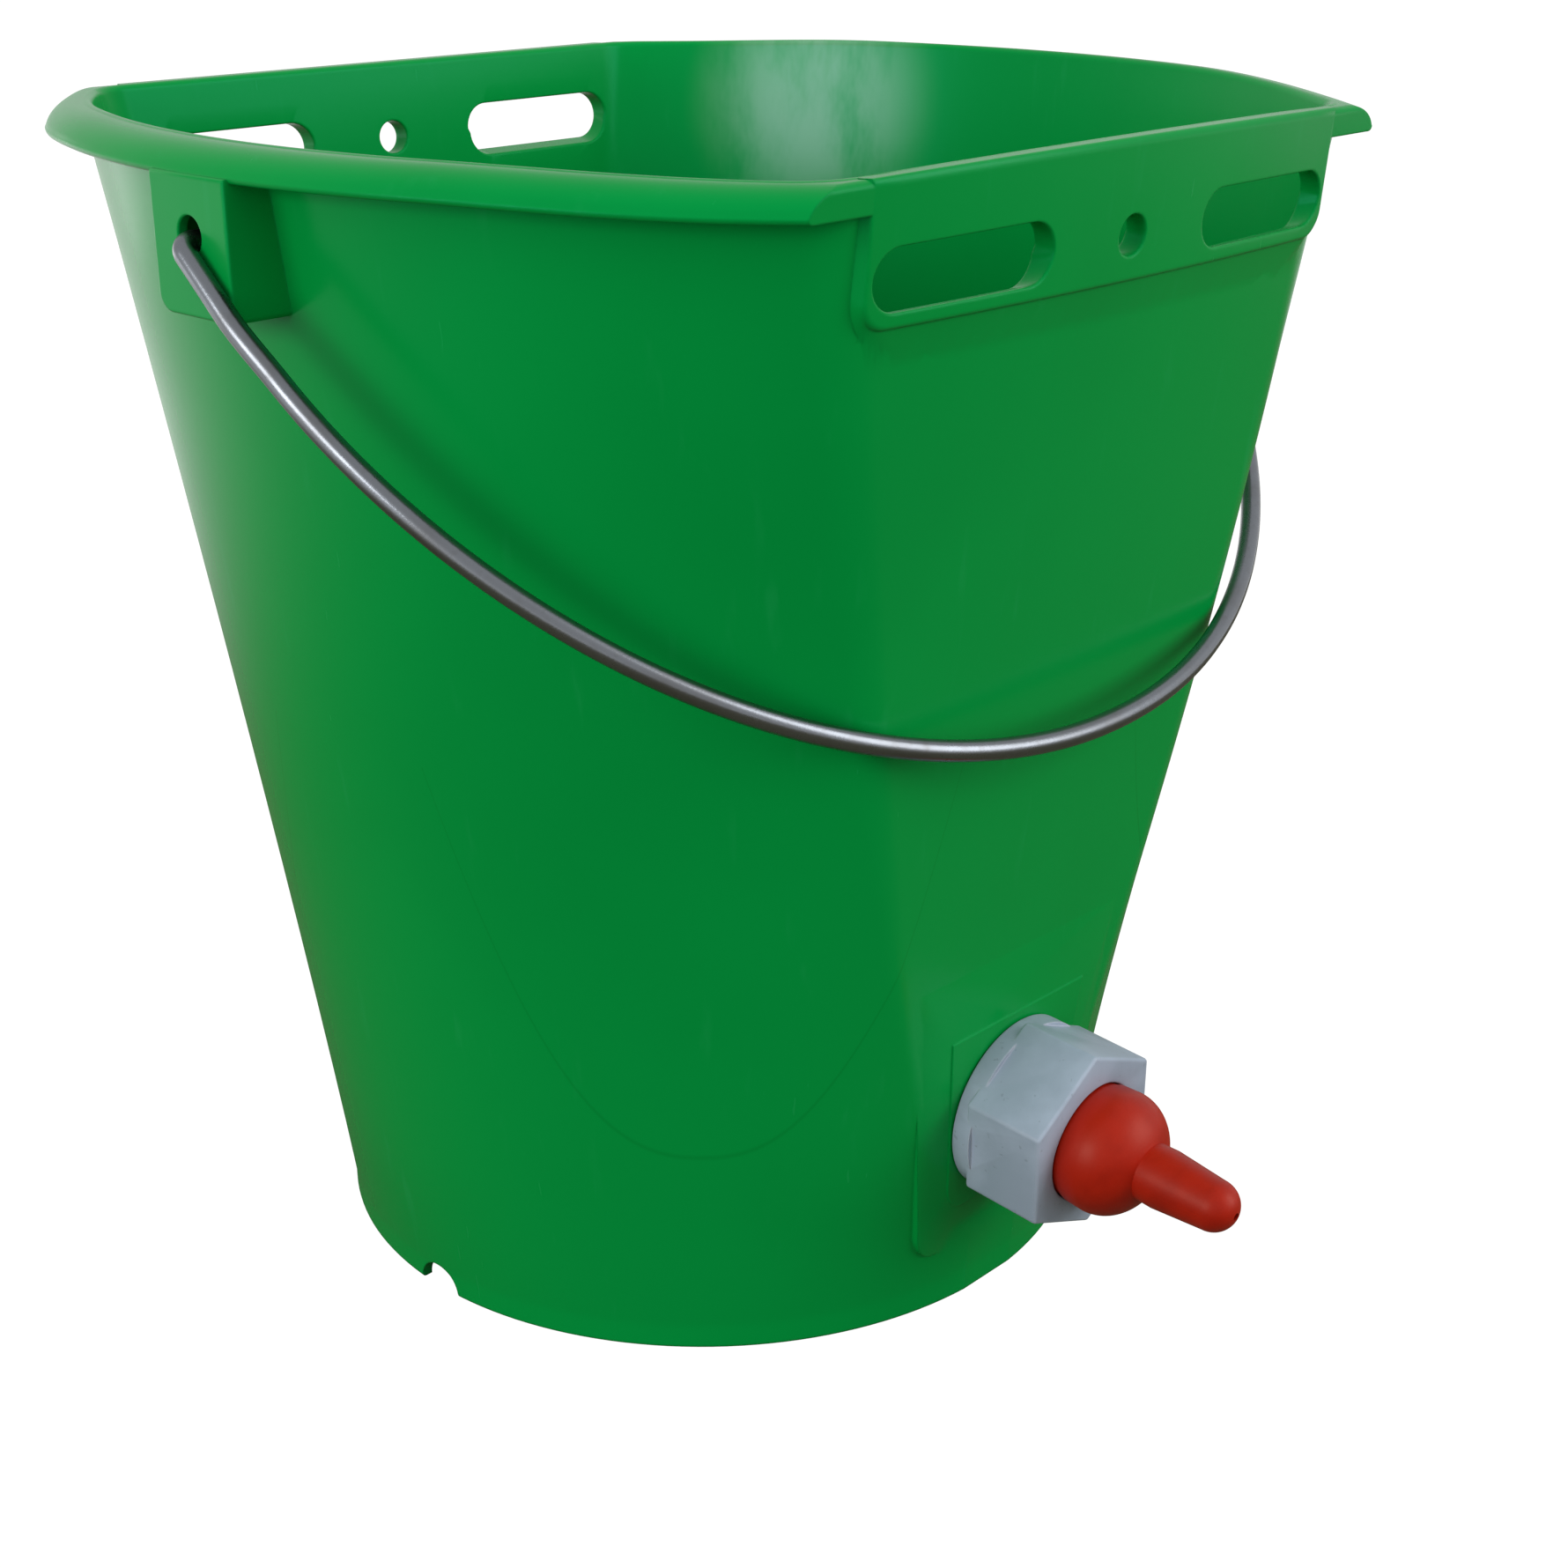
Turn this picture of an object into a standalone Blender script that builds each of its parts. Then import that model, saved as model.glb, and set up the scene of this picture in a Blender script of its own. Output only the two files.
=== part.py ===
"""Teat feeding bucket: moulded shell, wire bail and a ball valve with a rubber teat.

Metres, +Z up. The bucket stands on z = 0, the teat points along -Y and the
bail ears are on the X axis. The origin is the centre of the footprint.
"""
import math

import bmesh
import bpy
from mathutils import Matrix

# Bucket body: a round foot that grows into a squarish rim with two flats
HEIGHT = 0.280
FOOT_RADIUS = 0.0958
FOOT_BAND = 0.0055
FOOT_FLAT_INSET = 0.0014
FOOT_ROUNDING = 0.0022
FOOT_ROUNDING_TOP = 0.032
RIM_CROWN = 0.1325
RIM_SIDE_RADIUS = 0.1795
RIM_FLAT = 0.1196
CORNER_RADIUS = 0.018
CORNER_RADIUS_LOW = 0.008
SIDE_OPENING_POWER = 1.4
WALL = 0.003
FLOOR_LIFT = 0.007
FLOOR_THICKNESS = 0.003
FLOOR_FILLET = 0.008
FOOT_EDGE = 0.0012
RIM_EDGE = 0.0014
RIM_DIP = 0.0015

# Down-turned lip along the two curved sides
LIP_REACH = 0.0086
LIP_SIDE_RADIUS = 0.183
LIP_TOP_DROP = 0.0002
LIP_DEPTH = 0.0066
LIP_ROLL = 0.0084
LIP_WALL = 0.0023
LIP_END_WEB = 0.0024
LIP_END_EDGE = 0.0016
LIP_END_STEP = 0.0001

# Thickened hanging panel at the top of each flat, with its slots and hole
PANEL_HALF_WIDTH = 0.0783
PANEL_HEIGHT = 0.030
PANEL_PROUD = 0.0023
PANEL_STEP = 0.0048
PANEL_CORNER = 0.006
PANEL_EDGE = 0.0009
PANEL_TOP_EDGE = 0.0018
SLOT_LENGTH = 0.050
SLOT_WIDTH = 0.0125
SLOT_SPACING = 0.102
SLOT_DROP = 0.0203
PEG_HOLE = 0.009

# Flat raised land round the valve
LAND_HALF_WIDTH = 0.0225
LAND_TAPER = 0.10
LAND_BOTTOM = 0.028
LAND_TOP = 0.0768
LAND_PROUD = 0.0015
LAND_FOOT_SLOPE = 0.012
LAND_SIDE_SLOPE = 0.0097
LAND_TOP_SLOPE = 0.0207
LAND_CORNER = 0.007
LAND_EDGE = 0.0003

# Bail ears: hollow boxes, open below
EAR_WIDTH = 0.025
EAR_HEIGHT = 0.0335
EAR_WALL = 0.0023
EAR_FACE_WALL = 0.0025
EAR_CORNER = 0.004
EAR_PROUD = 0.0012
EAR_ROOF = 0.0052
EAR_TOP_DROP = 0.0056
EAR_HOLE = 0.0072
EAR_HOLE_DROP = 0.0172

# Drain notches in the foot
NOTCH_RADIUS = 0.0068

# Wire bail
WIRE = 0.004
BAIL_DEPTH = 0.1632
BAIL_LEG = 0.017
BAIL_BEND = 0.0032
BAIL_HOOK = 0.005
BAIL_REST_GAP = 0.0015

# Valve and teat, measured along the valve's axis from the land's face
VALVE_HEIGHT = 0.0524
SPIGOT_RADIUS = 0.0163
SPIGOT_BORE = 0.012
FLANGE_RADIUS = 0.022
FLANGE_THICKNESS = 0.003
GASKET_THICKNESS = 0.0015
GASKET_RADIUS = 0.0215
NUT_FLATS = 0.042
NUT_HEX_LENGTH = 0.021
NUT_COLLAR_RADIUS = 0.022
NUT_COLLAR_LENGTH = 0.0035
NUT_LIP = 0.0032
NUT_MOUTH = 0.0148
NUT_EDGE = 0.0008
NUT_REST_TURN = math.radians(7.0)
SEAT_THICKNESS = 0.004
SEAT_BORE = 0.005
BALL_RADIUS = 0.007
BALL_TRAVEL = 0.004
BALL_PLAY = 0.0005
GUIDE_RIB = 0.002
RETAINER_RADIUS = 0.0135
RETAINER_THICKNESS = 0.0024
RETAINER_BOSS = 0.0035
PORT_RADIUS = 0.003
PORT_CIRCLE = 0.0082
TEAT_FLANGE_RADIUS = 0.016
TEAT_FLANGE = 0.0026
TEAT_NECK = 0.0145
TEAT_BULB = 0.0153
TEAT_BULB_LENGTH = 0.018
TEAT_NIPPLE = 0.0073
TEAT_TIP = 0.0062
TEAT_REACH = 0.0402
TEAT_WALL = 0.0025
TEAT_PASSAGE = 0.0035
TEAT_MOUTH = 0.0009

# Clearances, and how far a raised face's foot starts below the wall's surface
SUNK = 0.0003
SEAT_GAP = 0.0003
THREAD_GAP = 0.0004
BORE_GAP = 0.0003

# A section counts as round where its flat would cut less than this share
ROUNDEST_RATIO = 0.996

# Facets
SIDE_STEPS = 12
CORNER_STEPS = 5
ROUND_STEPS = 36
LIP_STEPS = 108

# Places that follow from the sizes
FOOT_FLAT = FOOT_RADIUS - FOOT_FLAT_INSET
FLAT_TILT = math.atan2(RIM_FLAT - FOOT_FLAT, HEIGHT)
FLOOR_TOP = FLOOR_LIFT + FLOOR_THICKNESS
LIP_TOP = HEIGHT - LIP_TOP_DROP
LIP_BOTTOM = HEIGHT - LIP_DEPTH
LIP_CROWN = RIM_CROWN + LIP_REACH
EAR_FACE = LIP_CROWN + EAR_PROUD
PANEL_BOTTOM = HEIGHT - PANEL_HEIGHT
EAR_BOTTOM = HEIGHT - EAR_HEIGHT
EAR_HOLE_HEIGHT = HEIGHT - EAR_HOLE_DROP
PIVOT_HEIGHT = EAR_HOLE_HEIGHT - EAR_HOLE / 2 + WIRE / 2 + SEAT_GAP
BAIL_HALF_SPAN = EAR_FACE + WIRE / 2 + SEAT_GAP
SPIGOT_HOLE = SPIGOT_RADIUS + BORE_GAP
NUT_BORE = SPIGOT_RADIUS + THREAD_GAP
NUT_BACK = SEAT_GAP
NUT_FRONT = NUT_BACK + NUT_COLLAR_LENGTH + NUT_HEX_LENGTH
TEAT_BACK = NUT_FRONT - NUT_LIP - SEAT_GAP - TEAT_FLANGE
SPIGOT_LENGTH = TEAT_BACK - SEAT_GAP
INNER_FACE = -(WALL + LAND_PROUD) * math.cos(FLAT_TILT)
FLANGE_FRONT = INNER_FACE - GASKET_THICKNESS - 2 * SEAT_GAP
FLANGE_BACK = FLANGE_FRONT - FLANGE_THICKNESS
SEAT_FRONT = FLANGE_BACK + SEAT_THICKNESS
SEATED_BALL = SEAT_FRONT + math.sqrt(BALL_RADIUS ** 2 - SEAT_BORE ** 2) + SEAT_GAP
OPEN_BALL = SEATED_BALL + BALL_TRAVEL
RETAINER_BACK = SPIGOT_LENGTH - SEAT_GAP - RETAINER_THICKNESS
BOSS_TIP = OPEN_BALL + BALL_RADIUS + SEAT_GAP
TEAT_END = NUT_FRONT + TEAT_REACH


def ease(value, start, end):
    """Smooth step from 0 at start to 1 at end."""
    share = min(max((value - start) / (end - start), 0.0), 1.0)
    return share * share * (3.0 - 2.0 * share)


def flat_distance(z):
    """Distance from the axis to the plane of a flat at height z."""
    return FOOT_FLAT + (RIM_FLAT - FOOT_FLAT) * z / HEIGHT


def section_sizes(height):
    """Side crown, side radius and flat distance of the outer wall at a height."""
    z = max(height, FOOT_BAND)
    part = z / HEIGHT
    crown = FOOT_RADIUS + (RIM_CROWN - FOOT_RADIUS) * part
    side = FOOT_RADIUS + (RIM_SIDE_RADIUS - FOOT_RADIUS) * part ** SIDE_OPENING_POWER
    flat = flat_distance(z) + FOOT_ROUNDING * (1.0 - ease(z, FOOT_BAND, FOOT_ROUNDING_TOP))
    return crown, side, flat


def section_quarter(z, inset):
    """Outline of the wall in the first quadrant, from the X axis to the Y axis."""
    crown, side, flat = section_sizes(z)
    centre = crown - side
    side -= inset
    flat -= inset
    corner = CORNER_RADIUS_LOW + (CORNER_RADIUS - CORNER_RADIUS_LOW) * min(z / HEIGHT, 1.0)
    corner = max(corner - inset, WALL / 2)
    corner_y = min(flat - corner, ROUNDEST_RATIO * (side - corner))
    corner_x = centre + math.sqrt((side - corner) ** 2 - corner_y ** 2)
    turn = math.atan2(corner_y, corner_x - centre)
    points = []
    for step in range(SIDE_STEPS):
        angle = turn * step / SIDE_STEPS
        points.append((centre + side * math.cos(angle), side * math.sin(angle)))
    for step in range(CORNER_STEPS + 1):
        angle = turn + (math.pi / 2 - turn) * step / CORNER_STEPS
        points.append((corner_x + corner * math.cos(angle), corner_y + corner * math.sin(angle)))
    return points


def section(z, inset=0.0):
    """Closed outline of the wall at height z, anticlockwise, as 3D points."""
    quarter = section_quarter(z, inset)
    ring = list(quarter)
    ring += [(-x, y) for x, y in reversed(quarter)]
    ring += [(-x, -y) for x, y in quarter[1:]]
    ring += [(x, -y) for x, y in reversed(quarter[1:])]
    return [(x, y, z) for x, y in ring]


def wall_radius(angle, z):
    """Distance from the axis to the outer wall in the direction angle, at height z."""
    quarter = section_quarter(z, 0.0)
    across, along = abs(math.cos(angle)), abs(math.sin(angle))
    direction = math.atan2(along, across)
    last = (0.0, quarter[-1][1])
    for near, far in zip(quarter, quarter[1:] + [last]):
        low = math.atan2(near[1], near[0])
        high = math.atan2(far[1], far[0])
        if low <= direction <= high:
            dx, dy = far[0] - near[0], far[1] - near[1]
            share = (near[1] * across - near[0] * along) / (dx * along - dy * across)
            return math.hypot(near[0] + share * dx, near[1] + share * dy)
    return last[1]


def lean_gap(swing):
    """Least gap between the bail, swung from straight down, and the wall."""
    least = 1.0
    for step in range(1, 60):
        angle = math.pi / 2 * step / 60
        x = BAIL_HALF_SPAN * math.cos(angle)
        depth = BAIL_LEG + (BAIL_DEPTH - BAIL_LEG) * math.sin(angle)
        y = -depth * math.sin(swing)
        z = PIVOT_HEIGHT - depth * math.cos(swing)
        around = math.atan2(y, x)
        slope = (wall_radius(around, z + 0.001) - wall_radius(around, z - 0.001)) / 0.002
        outward = math.hypot(x, y) - wall_radius(around, z)
        least = min(least, outward * math.cos(math.atan(slope)) - WIRE / 2)
    return least


def bail_rest_swing():
    """Angle from straight down at which the hanging bail leans on the wall."""
    low, high = math.radians(20.0), math.radians(85.0)
    for _ in range(40):
        middle = (low + high) / 2
        if lean_gap(middle) < BAIL_REST_GAP:
            low = middle
        else:
            high = middle
    return high


VALVE_WALL = flat_distance(VALVE_HEIGHT) + LAND_PROUD
FRONT_REACH = VALVE_WALL + (TEAT_END - TEAT_TIP) * math.cos(FLAT_TILT) + TEAT_TIP
BACK_REACH = flat_distance(HEIGHT - PANEL_TOP_EDGE) + PANEL_PROUD
AXIS_Y = (FRONT_REACH - BACK_REACH) / 2


def clear_scene():
    for obj in list(bpy.data.objects):
        bpy.data.objects.remove(obj, do_unlink=True)


def new_collection(name):
    collection = bpy.data.collections.new(name)
    bpy.context.scene.collection.children.link(collection)
    return collection


def new_material(name, color, roughness, metallic=0.0):
    material = bpy.data.materials.new(name)
    material.use_nodes = True
    shader = material.node_tree.nodes["Principled BSDF"]
    shader.inputs["Base Color"].default_value = (*color, 1.0)
    shader.inputs["Roughness"].default_value = roughness
    shader.inputs["Metallic"].default_value = metallic
    return material


def new_object(name, data, collection, parent):
    obj = bpy.data.objects.new(name, data)
    collection.objects.link(obj)
    obj.parent = parent
    return obj


def mark_as_guide(obj):
    obj.hide_render = True
    obj.display_type = "WIRE"


def loft(name, rings, collection, parent):
    """Closed body through rings of equal point counts, capped at both ends."""
    body = bmesh.new()
    rows = [[body.verts.new(point) for point in ring] for ring in rings]
    count = len(rows[0])
    for low, high in zip(rows, rows[1:]):
        for i in range(count):
            j = (i + 1) % count
            body.faces.new((low[i], low[j], high[j], high[i]))
    body.faces.new(list(reversed(rows[0])))
    body.faces.new(rows[-1])
    bmesh.ops.recalc_face_normals(body, faces=body.faces)
    mesh = bpy.data.meshes.new(name)
    body.to_mesh(mesh)
    body.free()
    return new_object(name, mesh, collection, parent)


def turned(name, profile, collection, parent, steps=ROUND_STEPS):
    """Body of revolution about local Z; the profile runs down its outer side."""
    points = [(radius, 0.0, z) for radius, z in profile]
    edges = [(i, (i + 1) % len(points)) for i in range(len(points))]
    mesh = bpy.data.meshes.new(name)
    mesh.from_pydata(points, edges, [])
    obj = new_object(name, mesh, collection, parent)
    screw = obj.modifiers.new("turn", "SCREW")
    screw.axis = "Z"
    screw.angle = 2 * math.pi
    screw.steps = steps
    screw.render_steps = steps
    screw.use_merge_vertices = True
    screw.merge_threshold = 0.00001
    return obj


def extruded(name, outline, low, high, collection, parent):
    """Outline in local XY, filled and extruded from low to high along local Z."""
    curve = bpy.data.curves.new(name, "CURVE")
    curve.dimensions = "2D"
    curve.fill_mode = "BOTH"
    curve.extrude = (high - low) / 2
    curve.resolution_u = 1
    curve.render_resolution_u = 0
    spline = curve.splines.new("POLY")
    spline.points.add(len(outline) - 1)
    for point, (x, y) in zip(spline.points, outline):
        point.co = (x, y, 0.0, 1.0)
    spline.use_cyclic_u = True
    mesh = curve_to_mesh(name, curve, collection)
    mesh.transform(Matrix.Translation((0.0, 0.0, (low + high) / 2)))
    return new_object(name, mesh, collection, parent)


def curve_to_mesh(name, curve, collection):
    """Mesh of a curve with its caps welded; the curve itself is removed."""
    guide = bpy.data.objects.new(name + "_curve", curve)
    collection.objects.link(guide)
    bpy.context.view_layer.update()
    graph = bpy.context.evaluated_depsgraph_get()
    mesh = bpy.data.meshes.new_from_object(guide.evaluated_get(graph))
    bpy.data.objects.remove(guide, do_unlink=True)
    body = bmesh.new()
    body.from_mesh(mesh)
    bmesh.ops.remove_doubles(body, verts=body.verts, dist=0.00001)
    bmesh.ops.recalc_face_normals(body, faces=body.faces)
    body.to_mesh(mesh)
    body.free()
    mesh.name = name
    return mesh


def block(name, low, high, collection, parent):
    """Box between two opposite corners, started as a primitive cube."""
    mesh = bpy.data.meshes.new(name)
    body = bmesh.new()
    bmesh.ops.create_cube(body, size=1.0)
    size = [b - a for a, b in zip(low, high)]
    middle = [(a + b) / 2 for a, b in zip(low, high)]
    bmesh.ops.scale(body, vec=size, verts=body.verts)
    bmesh.ops.translate(body, vec=middle, verts=body.verts)
    body.to_mesh(mesh)
    body.free()
    return new_object(name, mesh, collection, parent)


def cylinder(name, radius, low, high, collection, parent, steps=ROUND_STEPS):
    """Plain cylinder along local Z, started as a primitive cone."""
    mesh = bpy.data.meshes.new(name)
    body = bmesh.new()
    bmesh.ops.create_cone(body, cap_ends=True, segments=steps,
                          radius1=radius, radius2=radius, depth=high - low)
    bmesh.ops.translate(body, vec=(0.0, 0.0, (low + high) / 2), verts=body.verts)
    body.to_mesh(mesh)
    body.free()
    return new_object(name, mesh, collection, parent)


def combine(obj, other, operation):
    boolean = obj.modifiers.new(other.name, "BOOLEAN")
    boolean.object = other
    boolean.operation = operation
    boolean.solver = "EXACT"
    mark_as_guide(other)


def dip_rim(mesh):
    """Let the rim fall towards the flats; each point slides along its flat's slope."""
    slope = math.tan(FLAT_TILT)
    for vert in mesh.vertices:
        x, y, z = vert.co
        along = ease(abs(y), RIM_CROWN * 0.4, RIM_FLAT - WALL)
        drop = RIM_DIP * along * ease(z, HEIGHT - EAR_HEIGHT, HEIGHT - LIP_DEPTH)
        vert.co.z = z - drop
        vert.co.y = y - math.copysign(slope * drop, y)


def settle(obj, material=None, sharp=math.radians(32.0)):
    """Turn the modifier result into the object's own mesh and shade it."""
    bpy.context.view_layer.update()
    graph = bpy.context.evaluated_depsgraph_get()
    mesh = bpy.data.meshes.new_from_object(obj.evaluated_get(graph))
    obj.modifiers.clear()
    obj.data = mesh
    mesh.shade_smooth()
    mesh.set_sharp_from_angle(angle=sharp)
    if material:
        mesh.materials.clear()
        mesh.materials.append(material)
    return obj


def arc(centre_x, centre_y, radius, start, end, steps):
    """Points on an arc between two angles in degrees, both ends included."""
    points = []
    for step in range(steps + 1):
        angle = math.radians(start + (end - start) * step / steps)
        points.append((centre_x + radius * math.cos(angle), centre_y + radius * math.sin(angle)))
    return points


def rounded_outline(half_width, low, high, corner, steps=5):
    """Rectangle with round lower corners and square upper corners."""
    points = arc(half_width - corner, low + corner, corner, 0, -90, steps)
    points += arc(-half_width + corner, low + corner, corner, -90, -180, steps)
    points += [(-half_width, high), (half_width, high)]
    return points


def stadium(length, width, centre_x, steps=10):
    radius = width / 2
    reach = length / 2 - radius
    points = arc(centre_x + reach, 0.0, radius, -90, 90, steps)
    points += arc(centre_x - reach, 0.0, radius, 90, 270, steps)
    return points


def wall_levels(low, high):
    """Heights of the wall's rings, closer together near the foot."""
    close = [low + (FOOT_ROUNDING_TOP - low) * step / 4 for step in range(4)]
    wide = [FOOT_ROUNDING_TOP + (high - FOOT_ROUNDING_TOP) * step / 8 for step in range(9)]
    return close + wide


def make_wall_form(forms, axis):
    """Solid outer form of the bucket, without lip, panels and ears."""
    rings = [section(0.0, FOOT_EDGE), section(FOOT_EDGE)]
    top = HEIGHT - RIM_EDGE
    for z in wall_levels(FOOT_BAND, top):
        rings.append(section(z))
    edge_steps = 3
    for step in range(1, edge_steps + 1):
        angle = math.pi / 2 * step / edge_steps
        rings.append(section(top + RIM_EDGE * math.sin(angle), RIM_EDGE * (1 - math.cos(angle))))
    return loft("wall_form", rings, forms, axis)


def make_cavity(forms, axis):
    """Inside of the bucket: filleted floor, wall, and a rounded inner rim edge."""
    rings = []
    fillet_steps = 4
    for step in range(fillet_steps + 1):
        angle = math.pi / 2 * step / fillet_steps
        rise = FLOOR_FILLET * (1 - math.cos(angle))
        inset = WALL + FLOOR_FILLET * (1 - math.sin(angle))
        rings.append(section(FLOOR_TOP + rise, inset))
    bottom = FLOOR_TOP + FLOOR_FILLET
    top = HEIGHT - RIM_EDGE
    for z in wall_levels(bottom, top)[1:]:
        rings.append(section(z, WALL))
    edge_steps = 3
    for step in range(1, edge_steps + 1):
        angle = math.pi / 2 * step / edge_steps
        rise = RIM_EDGE * math.sin(angle)
        rings.append(section(top + rise, WALL - RIM_EDGE * (1 - math.cos(angle))))
    rings.append([(x, y, HEIGHT + WALL) for x, y, _ in rings[-1]])
    return loft("cavity", rings, forms, axis)


def make_recess(forms, axis):
    """Hollow under the floor, inside the foot skirt."""
    inner = section(FLOOR_LIFT, WALL)
    below = [(x, y, -WALL) for x, y, _ in section(0.0, WALL)]
    return loft("foot_recess", [below, inner], forms, axis)


def lip_section(inset):
    """Outer run of the lip's section: a quarter ellipse from its top to its edge."""
    centre_x = LIP_SIDE_RADIUS - LIP_ROLL
    points = [(RIM_SIDE_RADIUS * 0.6, LIP_TOP - inset)]
    across, up = LIP_ROLL - inset, LIP_TOP - LIP_BOTTOM - inset
    for x, z in arc(0.0, 0.0, 1.0, 90, 0, 7):
        points.append((centre_x + across * x, LIP_BOTTOM + up * z))
    return points


def face_profile(reach, low, high, edge):
    """Section across both flats, its sides in their planes and its top edges round."""
    side = [(flat_distance(low) + reach, low)]
    centre_y = flat_distance(high - edge) + reach - edge
    side += arc(centre_y, high - edge, edge, 0, 90, 4)
    return side + [(-y, z) for y, z in reversed(side)]


def make_lip(name, side, forms, axis):
    """Down-turned lip on one curved side: hollow below, closed at both ends."""
    centre = side * (LIP_CROWN - LIP_SIDE_RADIUS)
    inner = RIM_SIDE_RADIUS * 0.6
    outer = lip_section(0.0) + [(inner, LIP_BOTTOM)]
    ring = turned(name, outer, forms, axis, LIP_STEPS)
    ring.location.x = centre

    below = LIP_BOTTOM - LIP_DEPTH
    under = lip_section(LIP_WALL) + [(LIP_SIDE_RADIUS - LIP_WALL, below), (inner, below)]
    under = [(radius - WALL * (radius == inner), z) for radius, z in under]
    channel = turned(name + "_channel", under, forms, axis, LIP_STEPS)
    channel.location.x = centre

    near, far = PANEL_HALF_WIDTH - PANEL_EDGE, LIP_CROWN + LIP_REACH
    across = Matrix(((0, 0, 1, 0), (1, 0, 0, 0), (0, 1, 0, 0), (0, 0, 0, 1)))
    for form, reach, top in ((ring, PANEL_PROUD - LIP_END_STEP, LIP_TOP),
                             (channel, PANEL_PROUD - LIP_END_WEB, HEIGHT)):
        outline = face_profile(reach, LIP_BOTTOM - 2 * LIP_DEPTH, top, LIP_END_EDGE)
        spans = sorted((side * near, side * far))
        room = extruded(form.name + "_room", outline, spans[0], spans[1], forms, axis)
        room.matrix_basis = across
        combine(form, room, "INTERSECT")
    combine(ring, channel, "DIFFERENCE")
    return ring


def flat_matrix(side, height, reach=0.0):
    """Frame on a flat at a height: X across, Y up the flat, Z out of the wall."""
    distance = flat_distance(height) + reach
    turn = Matrix.Rotation(math.pi / 2 + FLAT_TILT, 4, "X")
    place = Matrix.Translation((0.0, -distance, height))
    around = Matrix.Rotation(math.pi if side > 0 else 0.0, 4, "Z")
    return around @ place @ turn


def make_raised_face(name, side, half_width, low, high, proud, slopes, edges, forms, axis):
    """Raised face on a flat, with sloping borders and round edges, in world directions."""
    corner, edge, top_edge = edges
    foot_slope, side_slope, top_slope, taper = slopes
    wide = half_width + side_slope
    foot = rounded_outline(wide, low - foot_slope, high + top_slope, corner)
    rings = [(-3 * WALL, foot), (-SUNK, foot)]
    edge_steps = 3
    for step in range(edge_steps + 1):
        angle = math.pi / 2 * step / edge_steps
        out = proud - edge * (1 - math.sin(angle))
        inset = edge * (1 - math.cos(angle))
        drop = top_edge * (1 - math.cos(angle))
        outline = rounded_outline(half_width - inset, low + inset, high - drop, corner)
        rings.append((out, outline))
    placed = []
    middle = (low + high) / 2
    for out, outline in rings:
        ring = []
        for x, z in outline:
            x *= 1.0 + taper * (z - middle) / half_width
            ring.append((-side * x, side * (flat_distance(z) + out), z))
        placed.append(ring)
    return loft(name, placed, forms, axis)


def make_panel(name, side, forms, axis):
    """Thickened hanging panel from the rim down to its sloping lower edge."""
    edges = (PANEL_CORNER, PANEL_EDGE, PANEL_TOP_EDGE)
    top = HEIGHT - LIP_TOP_DROP / 4
    return make_raised_face(name, side, PANEL_HALF_WIDTH, PANEL_BOTTOM, top,
                            PANEL_PROUD, (PANEL_STEP, PANEL_EDGE, 0.0, 0.0), edges, forms, axis)


def make_ear(name, side, forms, axis):
    """Hollow ear for the bail, its face in line with the lip and its bottom open."""
    half = EAR_WIDTH / 2
    low_x = RIM_CROWN - 3 * WALL
    top = HEIGHT - EAR_TOP_DROP
    xs = sorted((side * low_x, side * EAR_FACE))
    box = block(name, (xs[0], -half, EAR_BOTTOM), (xs[1], half, top), forms, axis)
    body = bmesh.new()
    body.from_mesh(box.data)
    corners = []
    for edge in body.edges:
        ends = [vert.co for vert in edge.verts]
        level = all(abs(co.z - EAR_BOTTOM) < 1e-6 for co in ends)
        if level and abs(ends[0].y - ends[1].y) < 1e-6:
            corners.append(edge)
    bmesh.ops.bevel(body, geom=corners, offset=EAR_CORNER, segments=5, profile=0.5,
                    affect="EDGES")
    body.to_mesh(box.data)
    body.free()
    inside = sorted((side * (low_x - WALL), side * (EAR_FACE - EAR_FACE_WALL)))
    room = block(name + "_hollow", (inside[0], -half + EAR_WALL, EAR_BOTTOM - EAR_HEIGHT),
                 (inside[1], half - EAR_WALL, HEIGHT - EAR_ROOF), forms, axis)
    combine(box, room, "DIFFERENCE")
    return box


def make_shell(parts, forms, axis, material):
    """Moulded bucket shell: outer forms joined, then hollowed and pierced."""
    shell = make_wall_form(forms, axis)
    shell.name = "bucket_shell"
    shell.data.name = "bucket_shell"
    forms.objects.unlink(shell)
    parts.objects.link(shell)
    for side, hand in ((-1, "left"), (1, "right")):
        combine(shell, make_lip("lip_" + hand, side, forms, axis), "UNION")
        combine(shell, make_ear("ear_" + hand, side, forms, axis), "UNION")
    for side, place in ((-1, "front"), (1, "back")):
        combine(shell, make_panel("panel_" + place, side, forms, axis), "UNION")
    slopes = (LAND_FOOT_SLOPE, LAND_SIDE_SLOPE, LAND_TOP_SLOPE, LAND_TAPER)
    land = make_raised_face("valve_land", -1, LAND_HALF_WIDTH, LAND_BOTTOM, LAND_TOP, LAND_PROUD,
                            slopes, (LAND_CORNER, LAND_EDGE, LAND_EDGE), forms, axis)
    combine(shell, land, "UNION")
    combine(shell, make_cavity(forms, axis), "DIFFERENCE")
    combine(shell, make_recess(forms, axis), "DIFFERENCE")
    pierce_panels(shell, forms, axis)
    pierce_ears(shell, forms, axis)
    pierce_foot(shell, forms, axis)
    hole = cylinder("spigot_hole", SPIGOT_HOLE, -4 * WALL, 4 * WALL, forms, axis)
    hole.matrix_basis = flat_matrix(-1, VALVE_HEIGHT, LAND_PROUD)
    combine(shell, hole, "DIFFERENCE")
    settle(shell, material)
    dip_rim(shell.data)
    return shell


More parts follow.
